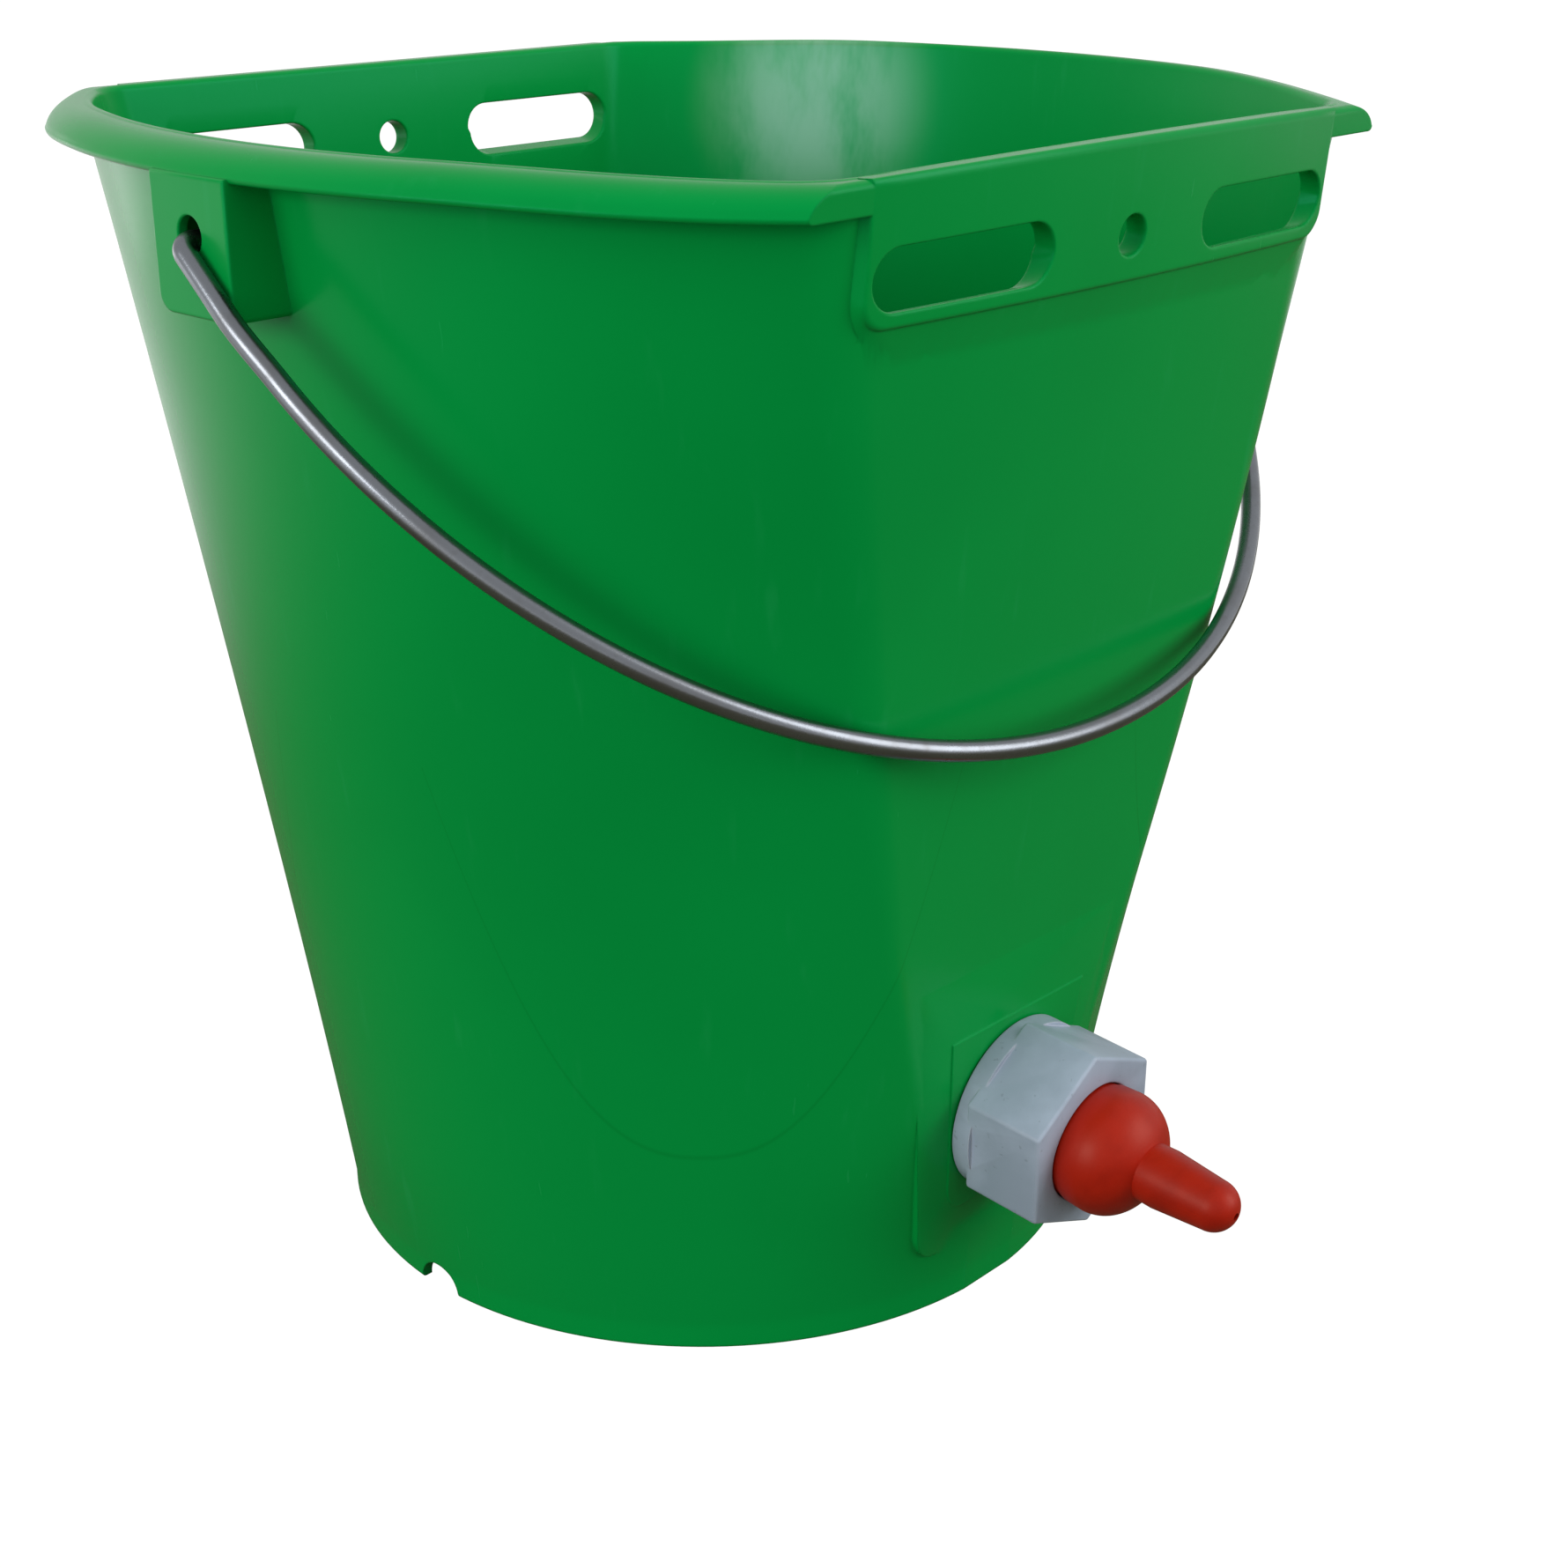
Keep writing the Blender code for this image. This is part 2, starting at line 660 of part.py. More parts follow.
def pierce_panels(shell, forms, axis):
    """Two hanging slots and a peg hole through each panel."""
    for side, place in ((-1, "front"), (1, "back")):
        frame = flat_matrix(side, HEIGHT - SLOT_DROP)
        depth = 3 * WALL
        for hand in (-1, 1):
            name = "slot_%s_%s" % (place, "left" if hand < 0 else "right")
            outline = stadium(SLOT_LENGTH, SLOT_WIDTH, hand * SLOT_SPACING / 2)
            slot = extruded(name, outline, -depth, depth, forms, axis)
            slot.matrix_basis = frame
            combine(shell, slot, "DIFFERENCE")
        peg = cylinder("peg_hole_" + place, PEG_HOLE / 2, -depth, depth, forms, axis, 24)
        peg.matrix_basis = frame
        combine(shell, peg, "DIFFERENCE")


def pierce_ears(shell, forms, axis):
    """Hole for the bail's wire through the face of each ear."""
    for side, hand in ((-1, "left"), (1, "right")):
        length = 2 * EAR_FACE_WALL
        hole = cylinder("wire_hole_" + hand, EAR_HOLE / 2, -length, length, forms, axis, 24)
        place = Matrix.Translation((side * EAR_FACE, 0.0, EAR_HOLE_HEIGHT))
        hole.matrix_basis = place @ Matrix.Rotation(math.pi / 2, 4, "Y")
        combine(shell, hole, "DIFFERENCE")


def pierce_foot(shell, forms, axis):
    """Half-round drain notch in the foot skirt below each ear."""
    for side, hand in ((-1, "left"), (1, "right")):
        length = 3 * WALL
        notch = cylinder("drain_notch_" + hand, NOTCH_RADIUS, -length, length, forms, axis, 24)
        place = Matrix.Translation((side * FOOT_RADIUS, 0.0, 0.0))
        notch.matrix_basis = place @ Matrix.Rotation(math.pi / 2, 4, "Y")
        combine(shell, notch, "DIFFERENCE")


def bail_path():
    """Centre line of half the bail in its own plane: hook, bend, leg and arc."""
    face = EAR_FACE
    hook_x = face - EAR_FACE_WALL - BAIL_BEND - 2 * SEAT_GAP
    points = [(hook_x, BAIL_BEND + BAIL_HOOK), (hook_x, BAIL_BEND + BAIL_HOOK / 2)]
    points += arc(hook_x + BAIL_BEND, BAIL_BEND, BAIL_BEND, 180, 270, 5)
    points += arc(BAIL_HALF_SPAN - BAIL_BEND, BAIL_BEND, BAIL_BEND, 270, 360, 5)
    steps = 20
    for step in range(steps + 1):
        angle = math.pi / 2 * step / steps
        points.append((BAIL_HALF_SPAN * math.cos(angle),
                       BAIL_LEG + (BAIL_DEPTH - BAIL_LEG) * math.sin(angle)))
    return points


def make_bail(parts, pivot, material):
    """Bail of round wire, hooked through both ears, as a bevelled curve."""
    half = bail_path()
    whole = [(-x, depth) for x, depth in half] + [(x, depth) for x, depth in reversed(half[:-1])]
    curve = bpy.data.curves.new("bail_handle", "CURVE")
    curve.dimensions = "3D"
    curve.bevel_depth = WIRE / 2
    curve.bevel_resolution = 3
    curve.use_fill_caps = True
    curve.resolution_u = 1
    curve.render_resolution_u = 0
    spline = curve.splines.new("POLY")
    spline.points.add(len(whole) - 1)
    for point, (x, depth) in zip(spline.points, whole):
        point.co = (x, 0.0, -depth, 1.0)
    mesh = curve_to_mesh("bail_handle", curve, parts)
    mesh.materials.clear()
    mesh.materials.append(material)
    mesh.shade_smooth()
    mesh.set_sharp_from_angle(angle=math.radians(50.0))
    return new_object("bail_handle", mesh, parts, pivot)


def make_nut(parts, forms, spigot, material):
    """Union nut: hexagon with a round collar behind and a mouth for the teat."""
    circumradius = NUT_FLATS / 2 / math.cos(math.pi / 6)
    hex_back = NUT_BACK + NUT_COLLAR_LENGTH
    nut = cylinder("union_nut", circumradius, hex_back, NUT_FRONT, parts, spigot, 6)
    bevel = nut.modifiers.new("edges", "BEVEL")
    bevel.width = NUT_EDGE
    bevel.segments = 2
    bevel.limit_method = "ANGLE"
    collar_profile = [(NUT_BORE / 2, hex_back + NUT_EDGE * 2),
                      (NUT_COLLAR_RADIUS, hex_back + NUT_EDGE * 2),
                      (NUT_COLLAR_RADIUS, NUT_BACK + NUT_EDGE / 2),
                      (NUT_COLLAR_RADIUS - NUT_EDGE / 2, NUT_BACK),
                      (NUT_BORE / 2, NUT_BACK)]
    collar = turned("nut_collar", collar_profile, forms, spigot)
    bore_end = NUT_FRONT - NUT_LIP
    bore_profile = [(0.0, NUT_FRONT + NUT_LIP), (NUT_MOUTH, NUT_FRONT + NUT_LIP),
                    (NUT_MOUTH, bore_end), (NUT_BORE, bore_end),
                    (NUT_BORE, NUT_BACK - NUT_LIP), (0.0, NUT_BACK - NUT_LIP)]
    bore = turned("nut_bore", bore_profile, forms, spigot)
    combine(nut, collar, "UNION")
    combine(nut, bore, "DIFFERENCE")
    nut.rotation_euler.z = NUT_REST_TURN
    return settle(nut, material)


def teat_profile():
    """Teat wall: flange, bulb, shoulder, tapering nipple and its passage."""
    neck_end = NUT_FRONT
    shoulder = NUT_FRONT + TEAT_BULB_LENGTH
    swell = TEAT_BULB - TEAT_NECK
    outer = [(TEAT_MOUTH, TEAT_END)]
    for step in range(1, 8):
        angle = math.pi / 2 * step / 7
        outer.append((max(TEAT_TIP * math.sin(angle), TEAT_MOUTH),
                      TEAT_END - TEAT_TIP * (1 - math.cos(angle))))
    outer.append((TEAT_NIPPLE, shoulder + TEAT_TIP * 0.45))
    dome_depth = TEAT_BULB_LENGTH * 0.68
    dome_back = shoulder - dome_depth
    dome_steps = 8
    end_angle = math.asin(TEAT_NIPPLE * 0.98 / TEAT_BULB)
    for step in range(dome_steps + 1):
        angle = end_angle + (math.pi / 2 - end_angle) * step / dome_steps
        outer.append((TEAT_BULB * math.sin(angle), dome_back + dome_depth * math.cos(angle)))
    outer.append((TEAT_NECK + swell * 0.7, neck_end + BORE_GAP * 5))
    outer.append((TEAT_NECK, neck_end))
    outer.append((TEAT_NECK, TEAT_BACK + TEAT_FLANGE))
    outer.append((TEAT_FLANGE_RADIUS, TEAT_BACK + TEAT_FLANGE))
    outer.append((TEAT_FLANGE_RADIUS, TEAT_BACK))
    inner = [(TEAT_NECK - TEAT_WALL, TEAT_BACK), (TEAT_NECK - TEAT_WALL, neck_end)]
    for step in range(dome_steps + 1):
        angle = math.pi / 2 + (math.radians(20) - math.pi / 2) * step / dome_steps
        inner.append(((TEAT_BULB - TEAT_WALL) * math.sin(angle),
                      dome_back + (dome_depth - TEAT_WALL) * math.cos(angle)))
    inner.append((TEAT_PASSAGE, shoulder))
    inner.append((TEAT_PASSAGE, TEAT_END - TEAT_TIP))
    inner.append((TEAT_MOUTH, TEAT_END - TEAT_WALL))
    return outer + inner


def make_valve_body(parts, forms, spigot, material):
    """Flanged spigot through the wall, with the ball's seat and guide ribs inside."""
    counterbore = RETAINER_RADIUS + BORE_GAP
    profile = [(counterbore, SPIGOT_LENGTH), (SPIGOT_RADIUS, SPIGOT_LENGTH),
               (SPIGOT_RADIUS, FLANGE_FRONT), (FLANGE_RADIUS, FLANGE_FRONT),
               (FLANGE_RADIUS, FLANGE_BACK), (SEAT_BORE, FLANGE_BACK),
               (SEAT_BORE, SEAT_FRONT), (SPIGOT_BORE, SEAT_FRONT),
               (SPIGOT_BORE, RETAINER_BACK - SEAT_GAP), (counterbore, RETAINER_BACK - SEAT_GAP)]
    body = turned("valve_body", profile, parts, spigot)
    rib_inner = BALL_RADIUS + BALL_PLAY
    for index in range(4):
        rib = block("guide_rib_%d" % (index + 1), (rib_inner, -GUIDE_RIB / 2, SEAT_FRONT - WALL / 2),
                    (SPIGOT_BORE + WALL / 2, GUIDE_RIB / 2, OPEN_BALL + BALL_RADIUS), forms, spigot)
        rib.rotation_euler.z = math.radians(45 + 90 * index)
        combine(body, rib, "UNION")
    return settle(body, material)


def make_retainer(parts, forms, spigot, material):
    """Ball retainer: ported disc with a boss that stops the ball."""
    profile = [(0.0, RETAINER_BACK + RETAINER_THICKNESS),
               (RETAINER_RADIUS, RETAINER_BACK + RETAINER_THICKNESS),
               (RETAINER_RADIUS, RETAINER_BACK), (RETAINER_BOSS, RETAINER_BACK),
               (RETAINER_BOSS, BOSS_TIP), (0.0, BOSS_TIP)]
    retainer = turned("ball_retainer", profile, parts, spigot)
    for index in range(6):
        port = cylinder("port_%d" % (index + 1), PORT_RADIUS, RETAINER_BACK - WALL,
                        SPIGOT_LENGTH + WALL, forms, spigot, 20)
        angle = math.radians(60 * index)
        port.location = (PORT_CIRCLE * math.cos(angle), PORT_CIRCLE * math.sin(angle), 0.0)
        combine(retainer, port, "DIFFERENCE")
    return settle(retainer, material)


def make_ball(parts, spigot, material):
    mesh = bpy.data.meshes.new("valve_ball")
    body = bmesh.new()
    bmesh.ops.create_uvsphere(body, u_segments=24, v_segments=14, radius=BALL_RADIUS)
    body.to_mesh(mesh)
    body.free()
    ball = new_object("valve_ball", mesh, parts, spigot)
    ball.location.z = OPEN_BALL
    return settle(ball, material)


def make_gasket(name, low, parts, spigot, material):
    high = low + GASKET_THICKNESS
    inner = SPIGOT_RADIUS + BORE_GAP
    profile = [(inner, high), (GASKET_RADIUS, high), (GASKET_RADIUS, low), (inner, low)]
    return settle(turned(name, profile, parts, spigot), material)


def main():
    clear_scene()
    parts = new_collection("teat_feeding_bucket")
    forms = new_collection("cutters")
    green = new_material("green_plastic", (0.004, 0.23, 0.055), 0.22)
    grey = new_material("grey_plastic", (0.30, 0.34, 0.38), 0.38)
    white = new_material("valve_plastic", (0.62, 0.64, 0.62), 0.4)
    red = new_material("teat_rubber", (0.42, 0.02, 0.012), 0.35)
    black = new_material("gasket_rubber", (0.02, 0.02, 0.02), 0.7)
    steel = new_material("galvanised_wire", (0.55, 0.55, 0.54), 0.25, 1.0)

    axis = new_object("bucket_axis", None, parts, None)
    axis.location = (0.0, AXIS_Y, 0.0)
    pivot = new_object("bail_pivot", None, parts, axis)
    pivot.location = (0.0, 0.0, PIVOT_HEIGHT)
    pivot.rotation_euler.x = -bail_rest_swing()
    spigot = new_object("valve_axis", None, parts, axis)
    spigot.matrix_basis = flat_matrix(-1, VALVE_HEIGHT, LAND_PROUD)

    make_shell(parts, forms, axis, green)
    make_bail(parts, pivot, steel)
    make_nut(parts, forms, spigot, grey)
    settle(turned("teat", teat_profile(), parts, spigot), red)
    make_valve_body(parts, forms, spigot, white)
    make_retainer(parts, forms, spigot, white)
    make_ball(parts, spigot, white)
    make_gasket("inner_gasket", FLANGE_FRONT + SEAT_GAP, parts, spigot, black)
    bpy.context.view_layer.update()
    print("bail leans at %.2f degrees" % math.degrees(bail_rest_swing()))
    print("axis offset %.5f, pivot height %.5f" % (AXIS_Y, PIVOT_HEIGHT))


main()
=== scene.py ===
import math
import bmesh
import bpy
from mathutils import Matrix, Vector


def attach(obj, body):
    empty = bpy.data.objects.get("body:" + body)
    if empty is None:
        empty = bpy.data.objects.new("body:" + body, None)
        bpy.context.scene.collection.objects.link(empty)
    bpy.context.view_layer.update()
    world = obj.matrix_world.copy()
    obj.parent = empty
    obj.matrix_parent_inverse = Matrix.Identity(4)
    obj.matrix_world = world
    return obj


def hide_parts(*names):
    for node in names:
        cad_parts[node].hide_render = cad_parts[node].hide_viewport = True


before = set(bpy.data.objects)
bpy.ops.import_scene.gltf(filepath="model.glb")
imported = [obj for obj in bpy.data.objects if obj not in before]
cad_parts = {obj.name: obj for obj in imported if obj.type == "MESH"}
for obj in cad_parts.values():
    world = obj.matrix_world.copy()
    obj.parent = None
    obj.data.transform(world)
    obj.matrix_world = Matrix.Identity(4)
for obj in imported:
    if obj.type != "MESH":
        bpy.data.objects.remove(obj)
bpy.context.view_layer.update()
print("frame loaded")


# Shaping tools; every length is in metres
shaping = {
    "weld": 0.000004,   # edges shorter than this are closed up
    "same": 0.000001,   # corners nearer than this lie on the same plane
    "crease": 32.0,     # faces that meet at more degrees than this keep a sharp edge
    "evenness": 100,    # how strongly large faces rule the shading beside them
    "spinWeld": 0.00001,
}


def ease(value, start, end):
    share = min(max((value - start) / (end - start), 0.0), 1.0)
    return share * share * (3.0 - 2.0 * share)


def arc(centreX, centreY, radius, start, end, steps):
    points = []
    for step in range(steps + 1):
        angle = math.radians(start + (end - start) * step / steps)
        points.append((centreX + radius * math.cos(angle), centreY + radius * math.sin(angle)))
    return points


def unitArc(start, end, steps):
    return arc(0.0, 0.0, 1.0, start, end, steps)


class MeshEdit:
    # a mesh opened for changes, which go back into it at the end
    def __init__(self, mesh):
        self.mesh = mesh

    def __enter__(self):
        self.body = bmesh.new()
        self.body.from_mesh(self.mesh)
        return self.body

    def __exit__(self, *problem):
        self.body.to_mesh(self.mesh)
        self.body.free()


def linked(name, data):
    piece = bpy.data.objects.new(name, data)
    bpy.context.scene.collection.objects.link(piece)
    return piece


def loft(name, rings):
    # a closed body through rings with the same number of points
    mesh = bpy.data.meshes.new(name)
    with MeshEdit(mesh) as body:
        rows = [[body.verts.new(point) for point in ring] for ring in rings]
        count = len(rows[0])
        for low, high in zip(rows, rows[1:]):
            for i in range(count):
                j = (i + 1) % count
                body.faces.new((low[i], low[j], high[j], high[i]))
        body.faces.new(list(reversed(rows[0])))
        body.faces.new(rows[-1])
        bmesh.ops.recalc_face_normals(body, faces=body.faces)
    return linked(name, mesh)


def turned(name, profile, steps):
    # closed profile of (radius, height) spun about local Z; it runs down its outer side
    points = [(radius, 0.0, z) for radius, z in profile]
    edges = [(i, (i + 1) % len(points)) for i in range(len(points))]
    mesh = bpy.data.meshes.new(name)
    mesh.from_pydata(points, edges, [])
    piece = linked(name, mesh)
    screw = piece.modifiers.new("turn", "SCREW")
    screw.axis = "Z"
    screw.angle = 2 * math.pi
    screw.steps = steps
    screw.render_steps = steps
    screw.use_merge_vertices = True
    screw.merge_threshold = shaping["spinWeld"]
    return piece


def cylinder(name, radius, low, high, steps):
    mesh = bpy.data.meshes.new(name)
    with MeshEdit(mesh) as body:
        bmesh.ops.create_cone(body, cap_ends=True, segments=steps,
                              radius1=radius, radius2=radius, depth=high - low)
        bmesh.ops.translate(body, vec=(0.0, 0.0, (low + high) / 2), verts=body.verts)
    return linked(name, mesh)


def box(name, low, high):
    mesh = bpy.data.meshes.new(name)
    size = [b - a for a, b in zip(low, high)]
    middle = [(a + b) / 2 for a, b in zip(low, high)]
    with MeshEdit(mesh) as body:
        bmesh.ops.create_cube(body, size=1.0)
        bmesh.ops.scale(body, vec=size, verts=body.verts)
        bmesh.ops.translate(body, vec=middle, verts=body.verts)
    return linked(name, mesh)


def combine(piece, other, operation):
    boolean = piece.modifiers.new(other.name, "BOOLEAN")
    boolean.object = other
    boolean.operation = operation
    boolean.solver = "EXACT"


def helpersOf(piece):
    found = []
    for modifier in piece.modifiers:
        if modifier.type == "BOOLEAN":
            found += helpersOf(modifier.object) + [modifier.object]
    return found


def shapedMesh(piece):
    # the mesh as modifiers or curve settings leave it
    bpy.context.view_layer.update()
    graph = bpy.context.evaluated_depsgraph_get()
    return bpy.data.meshes.new_from_object(piece.evaluated_get(graph))


def shadeSmooth(mesh, crease):
    mesh.shade_smooth()
    mesh.set_sharp_from_angle(angle=math.radians(crease))


def settle(piece, crease):
    # the modifiers' result becomes the piece's own mesh, and the helpers go
    mesh = shapedMesh(piece)
    helpers = helpersOf(piece)
    piece.modifiers.clear()
    piece.data = mesh
    for helper in helpers:
        bpy.data.objects.remove(helper, do_unlink=True)
    with MeshEdit(mesh) as body:
        bmesh.ops.remove_doubles(body, verts=body.verts, dist=shaping["weld"])
        bmesh.ops.dissolve_degenerate(body, dist=shaping["weld"], edges=body.edges)
    shadeSmooth(mesh, crease)


def evenNormals(piece):
    # large faces keep an even shading next to small round edges
    weighted = piece.modifiers.new("even", "WEIGHTED_NORMAL")
    weighted.weight = shaping["evenness"]
    weighted.keep_sharp = True
    mesh = shapedMesh(piece)
    piece.modifiers.clear()
    piece.data = mesh


# The wall of the bucket, about its own upright axis
wall = {
    "height": 0.280, "axisY": 0.0218206, "thickness": 0.003,
    "footRadius": 0.0958, "footBand": 0.0055, "footFlat": 0.0944,
    "footRounding": 0.0022, "footRoundingTop": 0.032,
    "rimCrown": 0.1325, "rimSideRadius": 0.1795, "rimFlat": 0.1196,
    "cornerRadius": 0.018, "cornerRadiusLow": 0.008, "openingPower": 1.4, "roundest": 0.996,
    "floorLift": 0.007, "floorThickness": 0.003, "floorFillet": 0.008,
    "footEdge": 0.0012, "rimEdge": 0.0014,
    "sideSteps": 40, "cornerSteps": 10, "flatSteps": 16, "levels": 40, "footLevels": 12,
    "footEdgeSteps": 4, "rimEdgeSteps": 6, "filletSteps": 10,
}
toAxis = Matrix.Translation((0.0, wall["axisY"], 0.0))
flatTilt = math.atan2(wall["rimFlat"] - wall["footFlat"], wall["height"])
rootDepth = 3 * wall["thickness"]  # raised forms start this deep, and the cavity trims them


def flatDistance(z):
    return wall["footFlat"] + (wall["rimFlat"] - wall["footFlat"]) * z / wall["height"]


def flatMatrix(side, height, reach=0.0):
    # frame on a flat: X across, Y up the flat, Z out of the wall
    distance = flatDistance(height) + reach
    turn = Matrix.Rotation(math.pi / 2 + flatTilt, 4, "X")
    place = Matrix.Translation((0.0, -distance, height))
    around = Matrix.Rotation(math.pi if side > 0 else 0.0, 4, "Z")
    return around @ place @ turn


def wallSection(height, inset=0.0):
    # closed outline of the wall at a height: two flats, two side arcs, four tight corners
    z = max(height, wall["footBand"])
    part = z / wall["height"]
    crown = wall["footRadius"] + (wall["rimCrown"] - wall["footRadius"]) * part
    opening = part ** wall["openingPower"]
    side = wall["footRadius"] + (wall["rimSideRadius"] - wall["footRadius"]) * opening - inset
    rounding = 1.0 - ease(z, wall["footBand"], wall["footRoundingTop"])
    flat = flatDistance(z) + wall["footRounding"] * rounding - inset
    centre = crown - side - inset
    corner = wall["cornerRadiusLow"] + (wall["cornerRadius"] - wall["cornerRadiusLow"]) * part
    corner = max(corner - inset, wall["thickness"] / 2)
    cornerY = min(flat - corner, wall["roundest"] * (side - corner))
    cornerX = centre + math.sqrt((side - corner) ** 2 - cornerY ** 2)
    turn = math.atan2(cornerY, cornerX - centre)
    quarter = []
    for step in range(wall["sideSteps"]):
        angle = turn * step / wall["sideSteps"]
        quarter.append((centre + side * math.cos(angle), side * math.sin(angle)))
    for step in range(wall["cornerSteps"] + 1):
        angle = turn + (math.pi / 2 - turn) * step / wall["cornerSteps"]
        quarter.append((cornerX + corner * math.cos(angle), cornerY + corner * math.sin(angle)))
    lastX, lastY = quarter[-1]
    for step in range(1, wall["flatSteps"]):  # the flat is divided too, for even shading
        quarter.append((lastX * (1 - step / wall["flatSteps"]), lastY))
    ring = list(quarter) + [(0.0, lastY)]
    ring += [(-x, y) for x, y in reversed(quarter)]
    ring += [(-x, -y) for x, y in quarter[1:]] + [(0.0, -lastY)]
    ring += [(x, -y) for x, y in reversed(quarter[1:])]
    return [(x, y, height) for x, y in ring]


def wallLevels(low, high):
    # heights of the outlines, closer together where the foot turns into flats
    turn, near, far = wall["footRoundingTop"], wall["footLevels"], wall["levels"]
    close = [low + (turn - low) * step / near for step in range(near)]
    return close + [turn + (high - turn) * step / far for step in range(far + 1)]


def makeWall():
    edge = wall["rimEdge"]
    top = wall["height"] - edge
    rings = [wallSection(0.0, wall["footEdge"])]
    for x, z in unitArc(180, 90, wall["footEdgeSteps"])[1:]:
        rings.append(wallSection(wall["footEdge"] * (1 + x), wall["footEdge"] * (1 - z)))
    rings += [wallSection(z) for z in wallLevels(wall["footBand"], top)]
    for x, z in unitArc(0, 90, wall["rimEdgeSteps"])[1:]:
        rings.append(wallSection(top + edge * z, edge * (1 - x)))
    return loft("bucketMoulding", rings)


def makeCavity():
    fillet, thick, edge = wall["floorFillet"], wall["thickness"], wall["rimEdge"]
    floor = wall["floorLift"] + wall["floorThickness"]
    rings = []
    for x, z in unitArc(-90, 0, wall["filletSteps"]):
        rings.append(wallSection(floor + fillet * (1 + z), thick + fillet * (1 - x)))
    top = wall["height"] - edge
    rings += [wallSection(z, thick) for z in wallLevels(floor + fillet, top)[1:]]
    for x, z in unitArc(180, 90, wall["rimEdgeSteps"])[1:]:
        rings.append(wallSection(top + edge * z, thick - edge * (1 + x)))
    rings.append([(x, y, wall["height"] + thick) for x, y, _ in rings[-1]])
    return loft("cavity", rings)


def makeRecess():
    # hollow under the floor, inside the foot skirt
    inner = wallSection(wall["floorLift"], wall["thickness"])
    below = [(x, y, -wall["thickness"]) for x, y, _ in wallSection(0.0, wall["thickness"])]
    return loft("footRecess", [below, inner])


# The rolled lip along both round sides
lip = {
    "reach": 0.0086, "sideRadius": 0.183, "topDrop": 0.0002, "depth": 0.0066, "roll": 0.0084,
    "wall": 0.0023, "edge": 0.0011, "edgeClear": 1.2, "innerShare": 0.6,
    "endWeb": 0.0024, "endEdge": 0.0016, "endStep": 0.0001, "endBeyond": 0.01,
    "steps": 360, "rollSteps": 20, "edgeSteps": 4, "endSteps": 8,
}
lipTop = wall["height"] - lip["topDrop"]
lipBottom = wall["height"] - lip["depth"]
lipCrown = wall["rimCrown"] + lip["reach"]
lipInner = wall["rimSideRadius"] * lip["innerShare"]


def lipSection(inset):
    centreX = lip["sideRadius"] - lip["roll"]
    points = [(lipInner, lipTop - inset)]
    across, up = lip["roll"] - inset, lipTop - lipBottom - inset
    for x, z in unitArc(90, 0, lip["rollSteps"]):
        points.append((centreX + across * x, lipBottom + up * z))
    return points


def endProfile(reach, low, high):
    # section across both flats: sides in their planes, top edges round
    edge = lip["endEdge"]
    side = [(flatDistance(low) + reach, low)]
    side += arc(flatDistance(high - edge) + reach - edge, high - edge, edge, 0, 90,
                lip["endSteps"])
    return side + [(-y, z) for y, z in reversed(side)]


def makeLip(side):
    name = "lipLeft" if side < 0 else "lipRight"
    centre = side * (lipCrown - lip["sideRadius"])
    edge = lip["edge"]
    outer = [(x, z) for x, z in lipSection(0.0) if z > lipBottom + edge * lip["edgeClear"]]
    outer += arc(lip["sideRadius"] - edge, lipBottom + edge, edge, 0, -90, lip["edgeSteps"])
    outer += [(lipInner, lipBottom)]
    ring = turned(name, outer, lip["steps"])
    ring.location.x = centre
    below = lipBottom - lip["depth"]
    under = lipSection(lip["wall"])
    under += [(lip["sideRadius"] - lip["wall"], below), (lipInner, below)]
    under = [(radius - wall["thickness"] * (radius == lipInner), z) for radius, z in under]
    channel = turned(name + "Channel", under, lip["steps"])
    channel.location.x = centre
    near, far = sorted((side * (panel["halfWidth"] - panel["edge"]),
                        side * (lipCrown + lip["endBeyond"])))
    across = Matrix(((0, 0, 1, 0), (1, 0, 0, 0), (0, 1, 0, 0), (0, 0, 0, 1)))
    low = lipBottom - 2 * lip["depth"]
    for form, reach, top in ((ring, panel["proud"] - lip["endStep"], lipTop),
                             (channel, panel["proud"] - lip["endWeb"], wall["height"])):
        outline = endProfile(reach, low, top)
        room = loft(form.name + "Room", [[(y, z, x) for y, z in outline] for x in (near, far)])
        room.matrix_basis = across  # the section is drawn upright and lies along X
        combine(form, room, "INTERSECT")
    combine(ring, channel, "DIFFERENCE")
    return ring


# Forms raised on the flats: the hanging panels and the land of the valve
raised = {"buried": 0.0003, "cornerSteps": 10, "edgeSteps": 6}
panel = {
    "halfWidth": 0.0783, "height": 0.030, "topDrop": 0.00005, "proud": 0.0023, "taper": 0.0,
    "footSlope": 0.0075, "sideSlope": 0.0009, "topSlope": 0.0,
    "corner": 0.006, "footCorner": 0.0150, "edge": 0.0009, "topEdge": 0.0018,
    "slotLength": 0.0505, "slotWidth": 0.0133, "slotSpacing": 0.102, "slotDrop": 0.0199,
    "slotEdge": 0.0006, "slotFall": 0.0015, "slotLedge": 0.0007, "slotSteps": 24,
    "ledgeTurn": -0.5, "pegHole": 0.009, "holeBeyond": 0.006,
}
land = {
    "halfWidth": 0.0225, "bottom": 0.028, "top": 0.0768, "proud": 0.0015, "taper": 0.10,
    "footSlope": 0.012, "sideSlope": 0.0097, "topSlope": 0.0207,
    "corner": 0.007, "footCorner": 0.007, "edge": 0.0003, "topEdge": 0.0003,
}


def roundedOutline(halfWidth, low, high, corner):
    steps = raised["cornerSteps"]
    points = arc(halfWidth - corner, low + corner, corner, 0, -90, steps)
    points += arc(-halfWidth + corner, low + corner, corner, -90, -180, steps)
    return points + [(-halfWidth, high), (halfWidth, high)]


